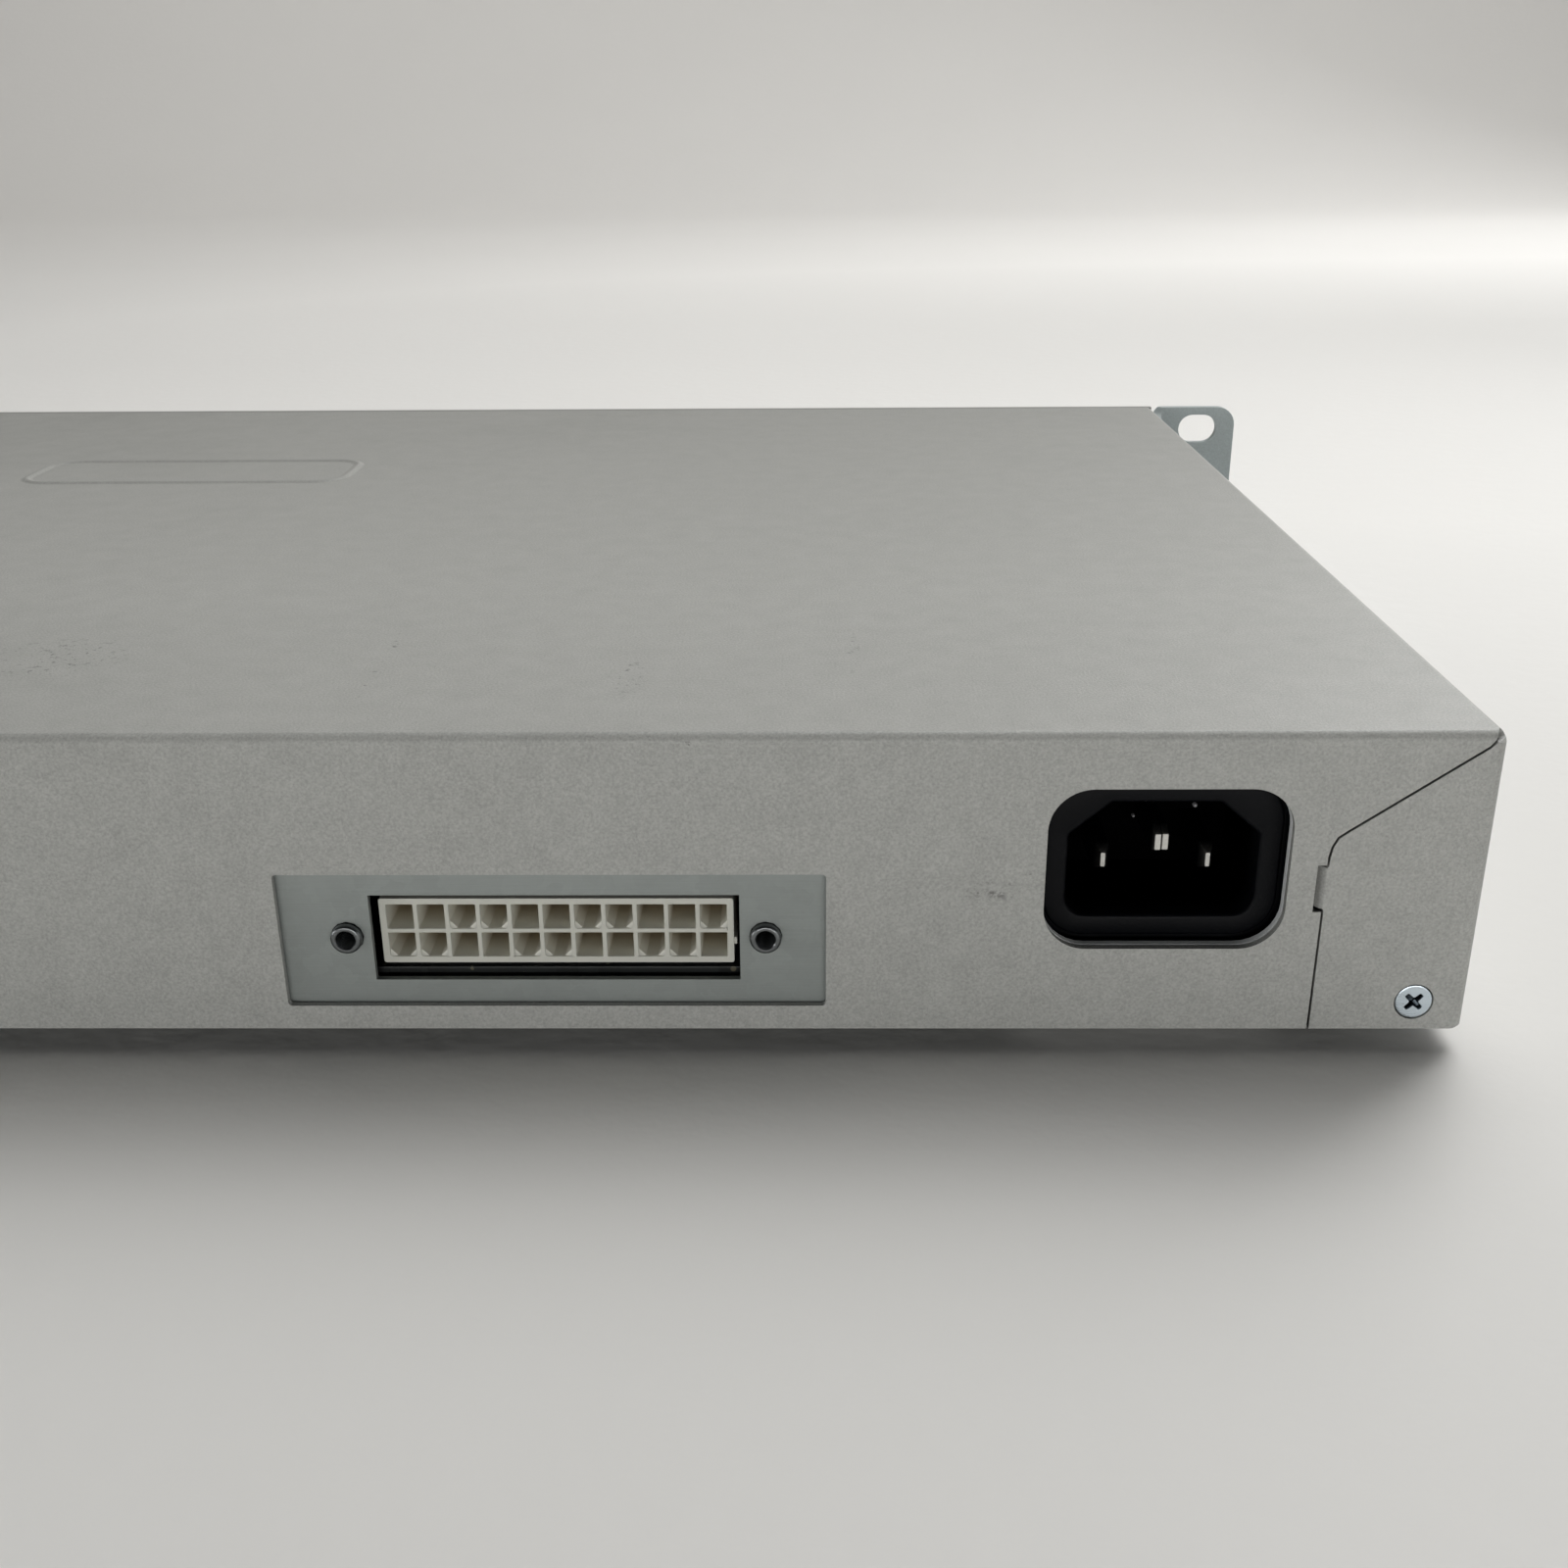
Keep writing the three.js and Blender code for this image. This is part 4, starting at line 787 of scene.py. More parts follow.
def coverPattern():
    c = cover
    seam = np.array(c["seam"])
    along = unit(np.gradient(seam, axis=0))
    outward = np.stack([along[:, 1], -along[:, 0]], 1)  # towards larger inset on the rear panel's side
    outward *= np.sign(outward[:, :1] + 1e-9)
    flangeEdge, rearEdge = seam - outward * c["slit"] / 2, seam + outward * c["slit"] / 2
    low, high, reach = c["lug"]
    start, neck, foot, sharp = c["lugStart"], c["lugNeck"], c["seam"][-1][0], 0.01
    lug = filletLoop([(start, low), (reach, low), (reach, high), (start, high)],
                     [sharp, c["lugCorner"], c["lugCorner"], sharp], 5)
    lug = lug[lug[:, 0] > c["lugRoot"]]
    lug = np.concatenate([[[neck, low - 0.35], [foot, low]], lug, [[foot, high], [neck, high + 0.25]]])
    # flange outline in inset and height, from the bottom up to the corner
    flange = np.concatenate([[flangeEdge[-1]], lug, flangeEdge[:-2][::-1]])
    flangeS = onSide(flange[:, 1])
    flangeT = flange[:, 0] - c["bend"] * 2 + bendLength
    n0, n1, nLow, nHigh = c["notch"]
    rear = np.concatenate([rearEdge[:-2], [[n0, nHigh], [n1, nHigh], [n1, nLow], [n0, nLow]], rearEdge[-1:]])
    rearS = c["side"] - rear[:, 0]
    rearT = sheetDown(rear[:, 1]) - c["bend"]
    # the bottom edge rises a little round the corner bend, as half a cosine wave
    bottom = onSide(0.0)
    u = np.linspace(-1, 1, 13)
    roundBend = np.stack([bottom - c["cornerDip"] * (0.5 + 0.5 * np.cos(np.pi * u)),
                          c["cornerFrom"] + c["cornerHalf"] * u], 1)
    # a round nick where the two bends meet
    middle, radius = np.array([flatSide + c["nickAt"][0], -c["bend"] + c["nickAt"][1]]), c["nick"]
    b = np.linspace(c["nickTurn"], np.pi - c["nickTurn"], 9)
    nick = np.stack([middle[0] + radius * np.cos(b), middle[1] - radius * np.sin(b)], 1)
    front = -c["depth"]
    right = np.concatenate([
        filletLoop([(0, front), (bottom, front), (bottom, front + 30)], [sharp, 1.5, sharp], 5)[5:10],
        roundBend,
        np.stack([flangeS, flangeT], 1), nick, np.stack([rearS, rearT], 1),
    ])
    left = right[::-1] * [-1, 1]
    loops = [np.concatenate([right, left])]
    x0, x1, z0, z1 = c["window"]
    loops.append(rectangle((x0 + x1) / 2, sheetDown((z0 + z1) / 2) - c["bend"], x1 - x0, z1 - z0,
                           c["windowCorner"], 4))
    x, z, w, h, r = c["inlet"]
    loops.append(rectangle(x, sheetDown(z) - c["bend"], w, h, r, c["inletSteps"]))
    for sign in (-1, 1):
        flat = onSide(c["screwZ"])
        loops.append(ring(sign * flat, c["screwInset"] - 2 * c["bend"] + bendLength, c["screwHole"], 40))
        for y in c["sideScrewY"]:
            loops.append(ring(sign * onSide(c["sideScrewZ"]), y, c["screwHole"], 32))
        for y in c["earScrewY"]:
            loops.append(ring(sign * onSide(c["earScrewZ"]), y, c["earHole"], 20))
        start = c["exhaust"] if sign > 0 else c["intake"]
        s = sign * onSide((c["ventLow"] + c["ventHigh"]) / 2)
        for y in start + c["ventPitch"] * np.arange(c["vents"]):
            loops.append(rectangle(s, y, c["ventHigh"] - c["ventLow"], c["ventWidth"], c["ventCorner"], 5))
    turns = np.linspace(0, bendLength, 7)
    lines = [[(-flatSide, v - c["bend"]), (flatSide, v - c["bend"])] for v in turns]
    for sign in (-1, 1):
        lines += [[(sign * (flatSide + v), -c["depth"]), (sign * (flatSide + v), -c["bend"])] for v in turns]
        top, base = onSide(41.0), onSide(0)
        lines += [[(sign * top, v - c["bend"]), (sign * base, v - c["bend"])] for v in turns]
        steps = foot - 2 * c["bend"] + bendLength + np.linspace(0, c["lugSlope"], 6)
        lugTop, lugBase = sign * onSide(high), sign * onSide(low)
        lines += [[(lugTop, v), (lugBase, v)] for v in steps]
    return loops, lines


def seamShade(points):
    # painted shade for the inner edges of the two corner seams: 1 on the sheet's inner side near a seam, and
    # a little on the stepped lug
    a = np.array([[cover["side"] - inset, z] for inset, z in cover["seam"]])
    a, b = a[:-1], a[1:]
    p = np.stack([np.abs(points[:, 0]), points[:, 2]], 1)[:, None]
    along = np.clip(((p - a) * (b - a)).sum(2) / ((b - a) ** 2).sum(1), 0, 1)[..., None]
    away = np.linalg.norm(p - a - along * (b - a), axis=2).min(1)
    inner = np.arange(len(points)) >= len(points) // 2
    x, y, z = np.abs(points[:, 0]), points[:, 1], points[:, 2]
    left, right, low, high = cover["lugShade"]
    onLug = (y < -0.1) & (x > left) & (x < right) & (z > low) & (z < high)
    return np.where(onLug, 0.07, (inner & (away < 0.4) & (y > -cover["bend"])) * 0.97)


def makeCover():
    loops, lines = coverPattern()
    sheet = foldedSheet(loops, lines, foldCover, cover["sheet"])
    addPiece("folded_cover", sheet, "cover_paint", ["top_cover"], bevel=0.13, sharp=40,
             recessShade=seamShade(np.asarray(sheet[0])))


badge = dict(x=0.0, y=-161.5, width=68.0, height=22.0, corner=6.0, half=1.3, rise=0.38)


def makeBadge():
    # a low ridge with a cosine crown, carried round a rounded rectangle on the top
    b = badge
    across = np.linspace(-b["half"], b["half"], 11)
    crown = b["rise"] * (0.5 + 0.5 * np.cos(np.pi * across / b["half"]))
    section = np.concatenate([np.stack([across, crown], 1), [[b["half"], -0.3], [-b["half"], -0.3]]])
    path = rectangle(b["x"], b["y"], b["width"], b["height"], b["corner"], 12)
    path = np.stack([path[:, 0], path[:, 1], np.full(len(path), cover["height"])], 1)
    addPiece("raised_outline", carry(section, path, (0, 0, 1), True), "cover_paint")


makeCover()
makeBadge()
print("stage: cover folded")


# Rack ears

ear = dict(thick=2.0, bend=3.0, leg=40.0, legLow=3.0, legHigh=39.5, slotX=232.0, slot=(9.6, 7.0), corner=4.5,
           legCorner=4.0, pitch=31.75, edge=0.35)


def makeEar(sign, node):
    low, high, _ = nodeBox(node)
    inner, outer = cover["side"] + 0.3, max(abs(low[0]), abs(high[0]))
    front, r = low[1], ear["bend"]
    length = r * quarter
    legEnd = -(ear["leg"] - r)
    flangeEnd = length + (outer - inner - r)
    top = cover["height"]

    def fold(pattern, depth):
        # the leg runs forward along the side, then bends out to the flange
        u, z = pattern[:, 0], pattern[:, 1]
        angle = np.clip(u / r, 0, quarter)
        x = inner + r * (1 - np.cos(angle)) + np.maximum(u - length, 0)
        y = front + r - np.where(u < 0, u, r * np.sin(angle))
        out = np.stack([-np.cos(angle), -np.sin(angle), np.zeros(len(u))], 1)
        points = np.stack([x, y, z], 1) - out * depth
        return points * [sign, 1, 1]

    outline = filletLoop([(legEnd, ear["legLow"]), (-2.0, ear["legLow"]), (length * 0.7, 0), (flangeEnd, 0),
                          (flangeEnd, top), (length * 0.7, top), (-2.0, ear["legHigh"]),
                          (legEnd, ear["legHigh"])],
                         [ear["legCorner"], 1.5, 1.5, ear["corner"], ear["corner"], 1.5, 1.5,
                          ear["legCorner"]],
                         8)
    slotU = length + (ear["slotX"] - inner - r)
    loops = [outline]
    for lift in (-ear["pitch"] / 2, ear["pitch"] / 2):
        loops.append(rectangle(slotU, top / 2 + lift, *ear["slot"], ear["slot"][1] / 2 - 0.05, 12))
    for y in cover["earScrewY"]:
        loops.append(ring(-(y - front - r), cover["earScrewZ"], 1.9, 24))
    lines = [[(u, 0.0), (u, top)] for u in np.linspace(0, length, 9)]
    sheet = foldedSheet(loops, lines, fold, ear["thick"])
    addPiece(node + "_folded", sheet, "ear_steel", [node], bevel=ear["edge"], sharp=40)


makeEar(1, "rack_ear_right")
makeEar(-1, "rack_ear_left")
print("stage: rack ears folded")


# Screws: a head worked out as height over a disc, then the cone and shank

def crossScrew(headRadius, length, dome=0.0, countersunk=True, steps=144, cross=(1.38, 0.36, 1.3)):
    # height is the dome less the cross: each arm is a smooth trench that narrows and shallows outwards
    reach, halfArm, deep = cross
    a = np.linspace(0, 2 * np.pi, steps, endpoint=False)
    r = np.concatenate([[0.0], np.linspace(0.05, reach + 0.15, 26),
                        np.linspace(reach + 0.3, headRadius - 0.12, 5)])[:, None]
    x, z = r * np.cos(a + np.pi / 4), r * np.sin(a + np.pi / 4)
    near = np.minimum(np.abs(x), np.abs(z))
    narrow = halfArm * (1 - 0.25 * r / reach)
    trench = 1 - smooth((near - narrow) / 0.14 + 0.5)
    floor = deep * (1 - 0.55 * r / reach) * (1 - smooth((r - reach) / 0.2 + 0.5))
    heart = deep * (1 - smooth((r - 0.55) / 0.2 + 0.5))
    sunk = np.maximum(trench * floor, heart)
    height = dome * (1 - (r / headRadius) ** 2) - sunk
    face = np.stack([r * np.cos(a), height, r * np.sin(a)], 2)
    if countersunk:
        rest = [(headRadius - 0.03, -0.04), (headRadius, -0.14), (headRadius, -0.22), (1.5, -1.15)]
    else:
        rest = [(headRadius - 0.03, -0.05), (headRadius, -0.2), (headRadius, -1.6),
                (headRadius - 0.15, -1.75), (1.5, -1.75)]
    turns = np.arange(rest[-1][1] - 0.2, -length + 0.4, -0.25)
    rest += [(1.5 - 0.22 * (i % 2), h) for i, h in enumerate(turns)] + [(1.1, -length), (0.0, -length)]
    rest = np.array(rest)
    stem = np.stack([rest[:, :1] * np.cos(a), np.repeat(rest[:, 1:], steps, 1), rest[:, :1] * np.sin(a)], 2)
    points = np.concatenate([face, stem])
    # painted shade: the cross recess is darkened by its depth, through the recess-shade point attribute
    shade = np.concatenate([smooth(sunk / 0.45).ravel() * 0.93, np.zeros(len(rest) * steps)])
    return (points.reshape(-1, 3), gridFaces(len(points), steps).tolist()), shade


def makeScrews():
    def fit(node, made, axes, centre):
        part, shade = made
        addPiece(node + "_turned", turned(part, axes, centre), "zinc_screw", [node], sharp=32, recessShade=shade)

    flush = crossScrew(2.44, 6.0)
    plain = crossScrew(2.44, 5.0, steps=96)
    pan = crossScrew(3.0, 9.0, 0.35, False, 96)
    for side, sign in (("right", 1), ("left", -1)):
        x = sign * (cover["side"] - cover["screwInset"])
        fit(f"corner_screw_{side}", flush, rearward, (x, -0.03, cover["screwZ"]))
    for i, sign in enumerate((1, -1)):
        axes = rightward if sign > 0 else leftward
        for k in (0, 1):
            fit(f"side_screw_{2 * i + k + 1}", plain, axes,
                (sign * (cover["side"] - 0.03), cover["sideScrewY"][k], cover["sideScrewZ"]))
            node = f"ear_screw_{2 * i + k + 1}"
            low, high, _ = nodeBox(node)
            tip = max(abs(low[0]), abs(high[0])) - 0.3
            fit(node, pan, axes, (sign * tip, cover["earScrewY"][k], cover["earScrewZ"]))
    for i in (1, 2):
        low, _, middle = nodeBox(f"front_screw_{i}")
        fit(f"front_screw_{i}", plain, frontward, (middle[0], low[1] + 0.03, middle[2]))


makeScrews()
print("stage: screws turned")


# Mains inlet: one moulding whose loops are read off along rays from the middle, and three blade pins

inlet = dict(x=-178.7, z=23.5, face=-3.4, depth=20.6, plate=(31.0, 22.3, 5.55), flange=(34.5, 25.8, 6.8),
             flangeStep=0.4, flangeBack=3.0, barrel=(27.3, 18.9, 3.0), cavity=(24.9, 16.3),
             chamfer=(5.4, 4.6),
             lowCorner=2.7, highCorner=0.7, cavityDepth=17.0, rays=240, faceRound=0.45, mouthRound=0.5,
             gateMarks=((3.6, 4.9, 0.2), (-4.4, 6.4, 0.3)), gateDepth=3.2)


def alongRays(outline, rays):
    # where evenly spaced rays from the origin meet a closed outline
    a, b = outline, np.roll(outline, -1, 0)
    angle = np.linspace(0, 2 * np.pi, rays, endpoint=False) + 1e-4
    d = np.stack([np.cos(angle), np.sin(angle)], 1)[:, None]
    e = (b - a)[None]
    cross = d[..., 0] * e[..., 1] - d[..., 1] * e[..., 0]
    cross = np.where(np.abs(cross) < 1e-12, 1e-12, cross)
    t = (a[None, :, 0] * e[..., 1] - a[None, :, 1] * e[..., 0]) / cross
    s = (a[None, :, 0] * d[..., 1] - a[None, :, 1] * d[..., 0]) / cross
    reach = np.where((s >= -1e-9) & (s <= 1 + 1e-9) & (t > 0), t, 0).max(1)
    return d[:, 0] * reach[:, None]


def inset(loop, distance):  # a star-shaped loop drawn in towards its middle
    return loop * (1 - distance / np.linalg.norm(loop, axis=1, keepdims=True))


def makeInlet():
    c = inlet
    w, h = c["cavity"][0] / 2, c["cavity"][1] / 2
    cx, cz = c["chamfer"]
    cavity = filletLoop([(-w, -h), (w, -h), (w, h - cz), (w - cx, h), (-w + cx, h), (-w, h - cz)],
                        [c["lowCorner"], c["lowCorner"]] + [c["highCorner"]] * 4, 8)
    cavity = alongRays(cavity, c["rays"])
    plate, flange, barrel = [alongRays(rectangle(0, 0, *c[k][:2], c[k][2], 16), c["rays"])
                             for k in ("plate", "flange", "barrel")]
    face, back = c["face"], c["face"] - c["depth"]
    turn = np.linspace(0, quarter, 5)
    loops = [(barrel, back), (barrel, face - c["flangeBack"]), (flange, face - c["flangeBack"]),
             (flange, face - c["flangeStep"] - 0.1), (inset(flange, 0.1), face - c["flangeStep"]),
             (plate, face - c["flangeStep"])]
    loops += [(inset(plate, c["faceRound"] * (1 - np.cos(a))), face - c["faceRound"] * (1 - np.sin(a)))
              for a in turn]
    loops += [(inset(cavity, -c["mouthRound"] * (1 - np.sin(a))), face - c["mouthRound"] * (1 - np.cos(a)))
              for a in turn]
    loops += [(inset(cavity, 0.1), face - 6.0), (inset(cavity, 0.25), face - c["cavityDepth"])]
    body = loftAlongY([(loop + [c["x"], c["z"]], y) for loop, y in loops])
    addPiece("inlet_moulding", body, "inlet_moulding", ["inlet_housing"], sharp=50)
    # two small gate marks inside the well, near its top, in a lighter grey as painted glints
    marks = []
    for x, z, size in c["gateMarks"]:
        dome = [(0, 0.25), (size * 0.6, 0.2), (size, 0.0), (size, -0.4), (0, -0.4)]
        marks.append(turned(lathe(dome, 14), rearward, (c["x"] + x, face - c["gateDepth"], c["z"] + z)))
    addPiece("inlet_gate_marks", joined(marks), "gate_mark_glints")


pin = dict(width=2.0, height=4.0, tip=(0.62, 2.1), earthTip=(0.80, 2.35), taper=1.9, corner=0.18,
           earthShift=(-0.35, -0.8), earthAhead=1.4)


def blade(x, z, width, height, tip, back, front, corner):
    # a rounded bar along y whose last stretch narrows to a small flat tip
    body = rectangle(x, z, width, height, corner, 4)
    end = rectangle(x, z, *tip, min(corner, 0.12), 4)
    shoulder = rectangle(x, z, width * 0.97, height * 0.97, corner, 4)
    rows = [(body, back), (body, front - pin["taper"] - 0.25), (shoulder, front - pin["taper"]),
            (end, front - 0.06), ((end - [x, z]) * 0.94 + [x, z], front)]
    return loftAlongY(rows)


def makePins():
    for node in ("inlet_pin_line", "inlet_pin_neutral", "inlet_pin_earth"):
        low, high, (x, _, z) = nodeBox(node)
        if node.endswith("earth"):
            # formed from folded strip: two leaves side by side with a groove between them
            half = pin["width"] / 2
            x, z, front = x + pin["earthShift"][0], z + pin["earthShift"][1], high[1] + pin["earthAhead"]
            leaves = [blade(x + side * half / 2, z, half - 0.06, pin["height"], pin["earthTip"], low[1],
                            front - back, 0.12) for side, back in ((-1, 0.12), (1, 0.0))]
            part, bars = joined(leaves), 2
        else:
            part, bars = blade(x, z, pin["width"], pin["height"], pin["tip"], low[1], high[1],
                               pin["corner"]), 1
        # painted shade: the shafts are darkened and only the tips keep the plate colour; five rows of points
        # to a bar, the last two on its tip
        rows = len(part[0]) // bars // 5
        shade = np.tile(np.repeat([1.0, 1.0, 1.0, 0.1, 0.0], rows), bars)
        addPiece(node + "_blade", part, "pin_plate", [node], sharp=25, recessShade=shade)


makeInlet()
makePins()
print("stage: mains inlet moulded")


# Backup supply connector: 22 tapered wells, some with their two lower corners filled in

backup = dict(x=-98.5, z=13.3, columns=11, pitch=4.2, cell=3.68, fill=1.0, mouthFill=0.3, fillAt=0.4,
              wall=1.2,
              face=-3.0, depth=13.0, wellFloor=-12.6, corner=0.35, rim=0.14, lip=0.12, carrierGap=0.3,
              topFilled=(0, 3, 4, 7, 8), lowFilled=(1, 2, 5, 6, 9, 10))


def makeBackupConnector():
    c = backup
    width, height = c["columns"] * c["pitch"] + c["wall"], 2 * c["pitch"] + c["wall"]
    outer = rectangle(c["x"], c["z"], width, height, c["corner"], 5)
    columns = [c["x"] + (i - (c["columns"] - 1) / 2) * c["pitch"] for i in range(c["columns"])]
    wells, deepWells, h = [], [], c["cell"] / 2
    for column, x in enumerate(columns):
        for row, filled in ((0, c["lowFilled"]), (1, c["topFilled"])):
            z = c["z"] + (row - 0.5) * c["pitch"]
            for loops, f in ((wells, c["mouthFill"]), (deepWells, c["fill"])):
                cut = [(-h, -h + f), (-h + f, -h), (h - f, -h), (h, -h + f)]
                low = cut if column in filled else [(-h, -h), (h, -h)]
                rim = min(c["rim"], f * 0.4)
                loops.append(filletLoop(np.array(low + [(h, h), (-h, h)], float) + [x, z], rim, 4))
    block = wellBlock(outer, wells, c["face"], c["face"] - c["depth"], [c["wellFloor"]] * len(wells),
                      c["lip"], deepWells, c["fillAt"])
    # the latch nub stands out of the side that is away from the inlet on the row's -x end
    nub = rectangle(c["x"] - width / 2 - 0.05, c["z"] - 1.7, 0.7, 1.0, 0.15, 3)
    block = joined([block, bar(nub, c["face"] - 0.4, c["face"] - 5.0)])
    addPiece("backup_connector_shell", block, "ivory_moulding", ["backup_supply_shell"], bevel=0.07, sharp=30)
    # solder tails behind the shell, one pair for each well, on their carrier
    low, high, middle = nodeBox("backup_supply_terminals")
    back = c["face"] - c["depth"] - c["carrierGap"]
    carrier = rectangle(c["x"], middle[2], high[0] - low[0], high[2] - low[2], 0.3, 3)
    tails = [bar(carrier, back - 3.0, back)]
    foot = low[2] + 0.05
    for x in columns:
        for row in (0, 1):
            z = c["z"] + (row - 0.5) * c["pitch"]
            y = back - 3.6 - 2.2 * row
            path = [(x, back - 1.0, z), (x, y + 0.5, z), (x, y, z - 0.5), (x, y, (z + foot) / 2),
                    (x, y, foot)]
            tails.append(carry(rectangle(0, 0, 0.8, 0.5), path, (1, 0, 0.001)))
    addPiece("backup_solder_tails", joined(tails), "tinned_contacts", ["backup_supply_terminals"])


nut = dict(collar=2.1, crown=1.72, barrel=1.8, bore=1.3, threadDepth=0.13, pitch=0.5)


def makeJackNuts():
    for node in ("jack_nut_1", "jack_nut_2"):
        low, high, (x, _, z) = nodeBox(node)
        front, back = high[1], low[1]
        turn = np.linspace(0, quarter, 6)
        collar, crown, barrel, bore = [nut[k] for k in ("collar", "crown", "barrel", "bore")]
        profile = [(0, back), (barrel, back), (barrel, front - 0.86), (collar, front - 0.86),
                   (collar, front - 0.55)]
        profile += [(crown + (collar - crown) * np.cos(a), front - 0.5 + 0.5 * np.sin(a)) for a in turn]
        profile += [(bore + 0.12, front - 0.02), (bore, front - 0.14)]
        deep = np.arange(front - 0.3, back + 1.2, -nut["pitch"] / 2)
        profile += [(bore + nut["threadDepth"] * (i % 2), y) for i, y in enumerate(deep)]
        profile += [(bore, back + 0.8), (0, back + 0.8)]
        addPiece(node + "_threaded", turned(lathe(profile, 56), rearward, (x, 0, z)), "oiled_nut", [node],
                 sharp=28)


makeBackupConnector()
makeJackNuts()
print("stage: backup connector moulded")


# Feet, front ports and the reset button

foot = dict(radius=6.5, base=6.0, ringRadius=4.6, dish=0.7)


def makeFeet():
    for i in range(1, 5):
        low, high, (x, y, _) = nodeBox(f"rubber_foot_{i}")
        top, bottom = high[2], low[2]
        radius, base, dished, dish = [foot[k] for k in ("radius", "base", "ringRadius", "dish")]
        profile = [(0, bottom + dish), (dished - 1.6, bottom + dish), (dished - 0.9, bottom + 0.1),
                   (dished - 0.5, bottom), (base - 0.7, bottom), (base - 0.25, bottom + 0.12),
                   (base + 0.05, bottom + 0.5), (radius - 0.1, top - 0.35), (radius - 0.25, top - 0.1),
                   (radius - 0.6, top), (0, top)]
        addPiece(f"rubber_foot_{i}_moulded", turned(lathe(profile, 48), upward, (x, y, 0)), "foot_rubber",
                 [f"rubber_foot_{i}"], sharp=30)


jack = dict(pitch=15.6, height=13.4, depth=21.0, low=1.2, mouthLow=3.2, mouth=(11.9, 8.4), latch=6.2,
            reach=12.5,
            shield=0.3, contactPitch=1.02,
            contact=((2.6, 0.35), (3.4, 0.8), (7.5, 2.9), (9.4, 3.6), (11.9, 3.7)))


def jackMouth(x, low):
    w, k = jack["mouth"][0] / 2, jack["latch"] / 2
    base, step, top = low + jack["low"], low + jack["mouthLow"], low + jack["mouthLow"] + jack["mouth"][1]
    return filletLoop([(x - k, base), (x + k, base), (x + k, step), (x + w, step), (x + w, top), (x - w, top),
                       (x - w, step), (x - k, step)], 0.25, 4)


def tube(outer, inner, front, back):  # a wall between two loops of equal length, closed at both ends
    rows = [(inner, front), (outer, front), (outer, back), (inner, back), (inner, front)]
    return loftAlongY(rows, False, False)


def springLeaf(x, y, length, z, bow, width, thick):  # a strip along y, bowed as half a sine wave
    u = np.linspace(0, 1, 9)
    path = np.stack([np.full(9, x), y + length * u, z + bow * np.sin(np.pi * u)], 1)
    return carry(rectangle(0, 0, width, thick), path, (0, 0, 1))


def makeJacks():
    for node, ports in (("console_jack", 1), ("management_jack", 1),
                        ("lan_jack_block_1", 4), ("lan_jack_block_2", 4)):
        low, high, middle = nodeBox(node)
        x, z, front = middle[0], low[2], low[1]
        width, height, wall = high[0] - low[0], high[2] - low[2], jack["shield"]
        centres = x + (np.arange(ports) - (ports - 1) / 2) * jack["pitch"]
        mouths = [jackMouth(m, z) for m in centres]
        outer = rectangle(x, z + height / 2, width, height, 0.5, 5)
        inner = rectangle(x, z + height / 2, width - 2 * wall, height - 2 * wall, 0.3, 5)
        parts = [slab([outer] + mouths, front, front + wall), tube(outer, inner, front + wall * 0.9, high[1])]
        # grounding springs on the top of the shield
        parts += [springLeaf(m + shift, front + 1.2, 6, z + height - 0.06, 0.22, 2.2, 0.16)
                  for m in centres for shift in (-3.4, 3.4)]
        addPiece(node + "_shield", joined(parts), "bright_steel", [node])
        body = rectangle(x, z + height / 2, width - 2 * wall - 0.1, height - 2 * wall - 0.1, 0.2, 5)
        insert = wellBlock(body, mouths, front + wall + 0.02, high[1] - 0.4, [front + jack["reach"]] * ports)
        addPiece(node + "_insert", insert, "black_moulding", [node])
        wires, lamps = [], []
        for m in centres:
            for k in range(8):
                cx, top = m + (k - 3.5) * jack["contactPitch"], z + jack["mouthLow"] + jack["mouth"][1]
                path = [(cx, front + ahead, top - down) for ahead, down in jack["contact"]]
                wires.append(carry(rectangle(0, 0, 0.42, 0.3), path, (0, 0, 1)))
            for shift in (-4.6, 4.6):
                lamp = rectangle(m + shift, z + height - 0.95, 2.4, 1.0, 0.2, 4)
                lamps.append(bar(lamp, front - 0.12, front + 0.5))
        addPiece(node + "_contacts", joined(wires), "gold_contacts")
        addPiece(node + "_lamps", joined(lamps), "clear_moulding")


def makeCages():
    for i in (1, 2):
        low, high, (x, _, z) = nodeBox(f"transceiver_cage_{i}")
        width, height = high[0] - low[0], high[2] - low[2]
        outer = rectangle(x, z, width, height, 0.45, 5)
        inner = rectangle(x, z, width - 1.0, height - 1.0, 0.3, 5)
        parts = [tube(outer, inner, low[1], high[1]),
                 bar(inner, high[1] - 0.5, high[1] - 0.05)]
        parts += [springLeaf(x + (k - 1.5) * 3.2, low[1] + 0.2, 5, z + side * (height / 2 + 0.02),
                             side * 0.28,
                             2.4, 0.14) for k in range(4) for side in (-1, 1)]
        addPiece(f"transceiver_cage_{i}_pressed", joined(parts), "bright_steel", [f"transceiver_cage_{i}"])


def makeUsb():
    low, high, (x, _, z) = nodeBox("usb_port")
    outer = rectangle(x, z, high[0] - low[0], high[2] - low[2], 0.7, 6)
    inner = rectangle(x, z, high[0] - low[0] - 0.7, high[2] - low[2] - 0.7, 0.45, 6)
    back = bar(inner, low[1] + 11.5, high[1] - 0.05)
    addPiece("usb_port_shell", joined([tube(outer, inner, low[1], high[1]), back]), "bright_steel",
             ["usb_port"])
    tongue = rectangle(x, z + 0.95, 11.2, 1.8, 0.3, 4)
    addPiece("usb_port_tongue", bar(tongue, low[1] + 1.0, low[1] + 11.6), "black_moulding", bevel=0.15)
    pads = [bar(rectangle(x + dx, z + 0.02, 1.0, 0.12), low[1] + 1.8, low[1] + 9)
            for dx in (-3.5, -1.0, 1.0, 3.5)]
    addPiece("usb_port_pads", joined(pads), "gold_contacts")


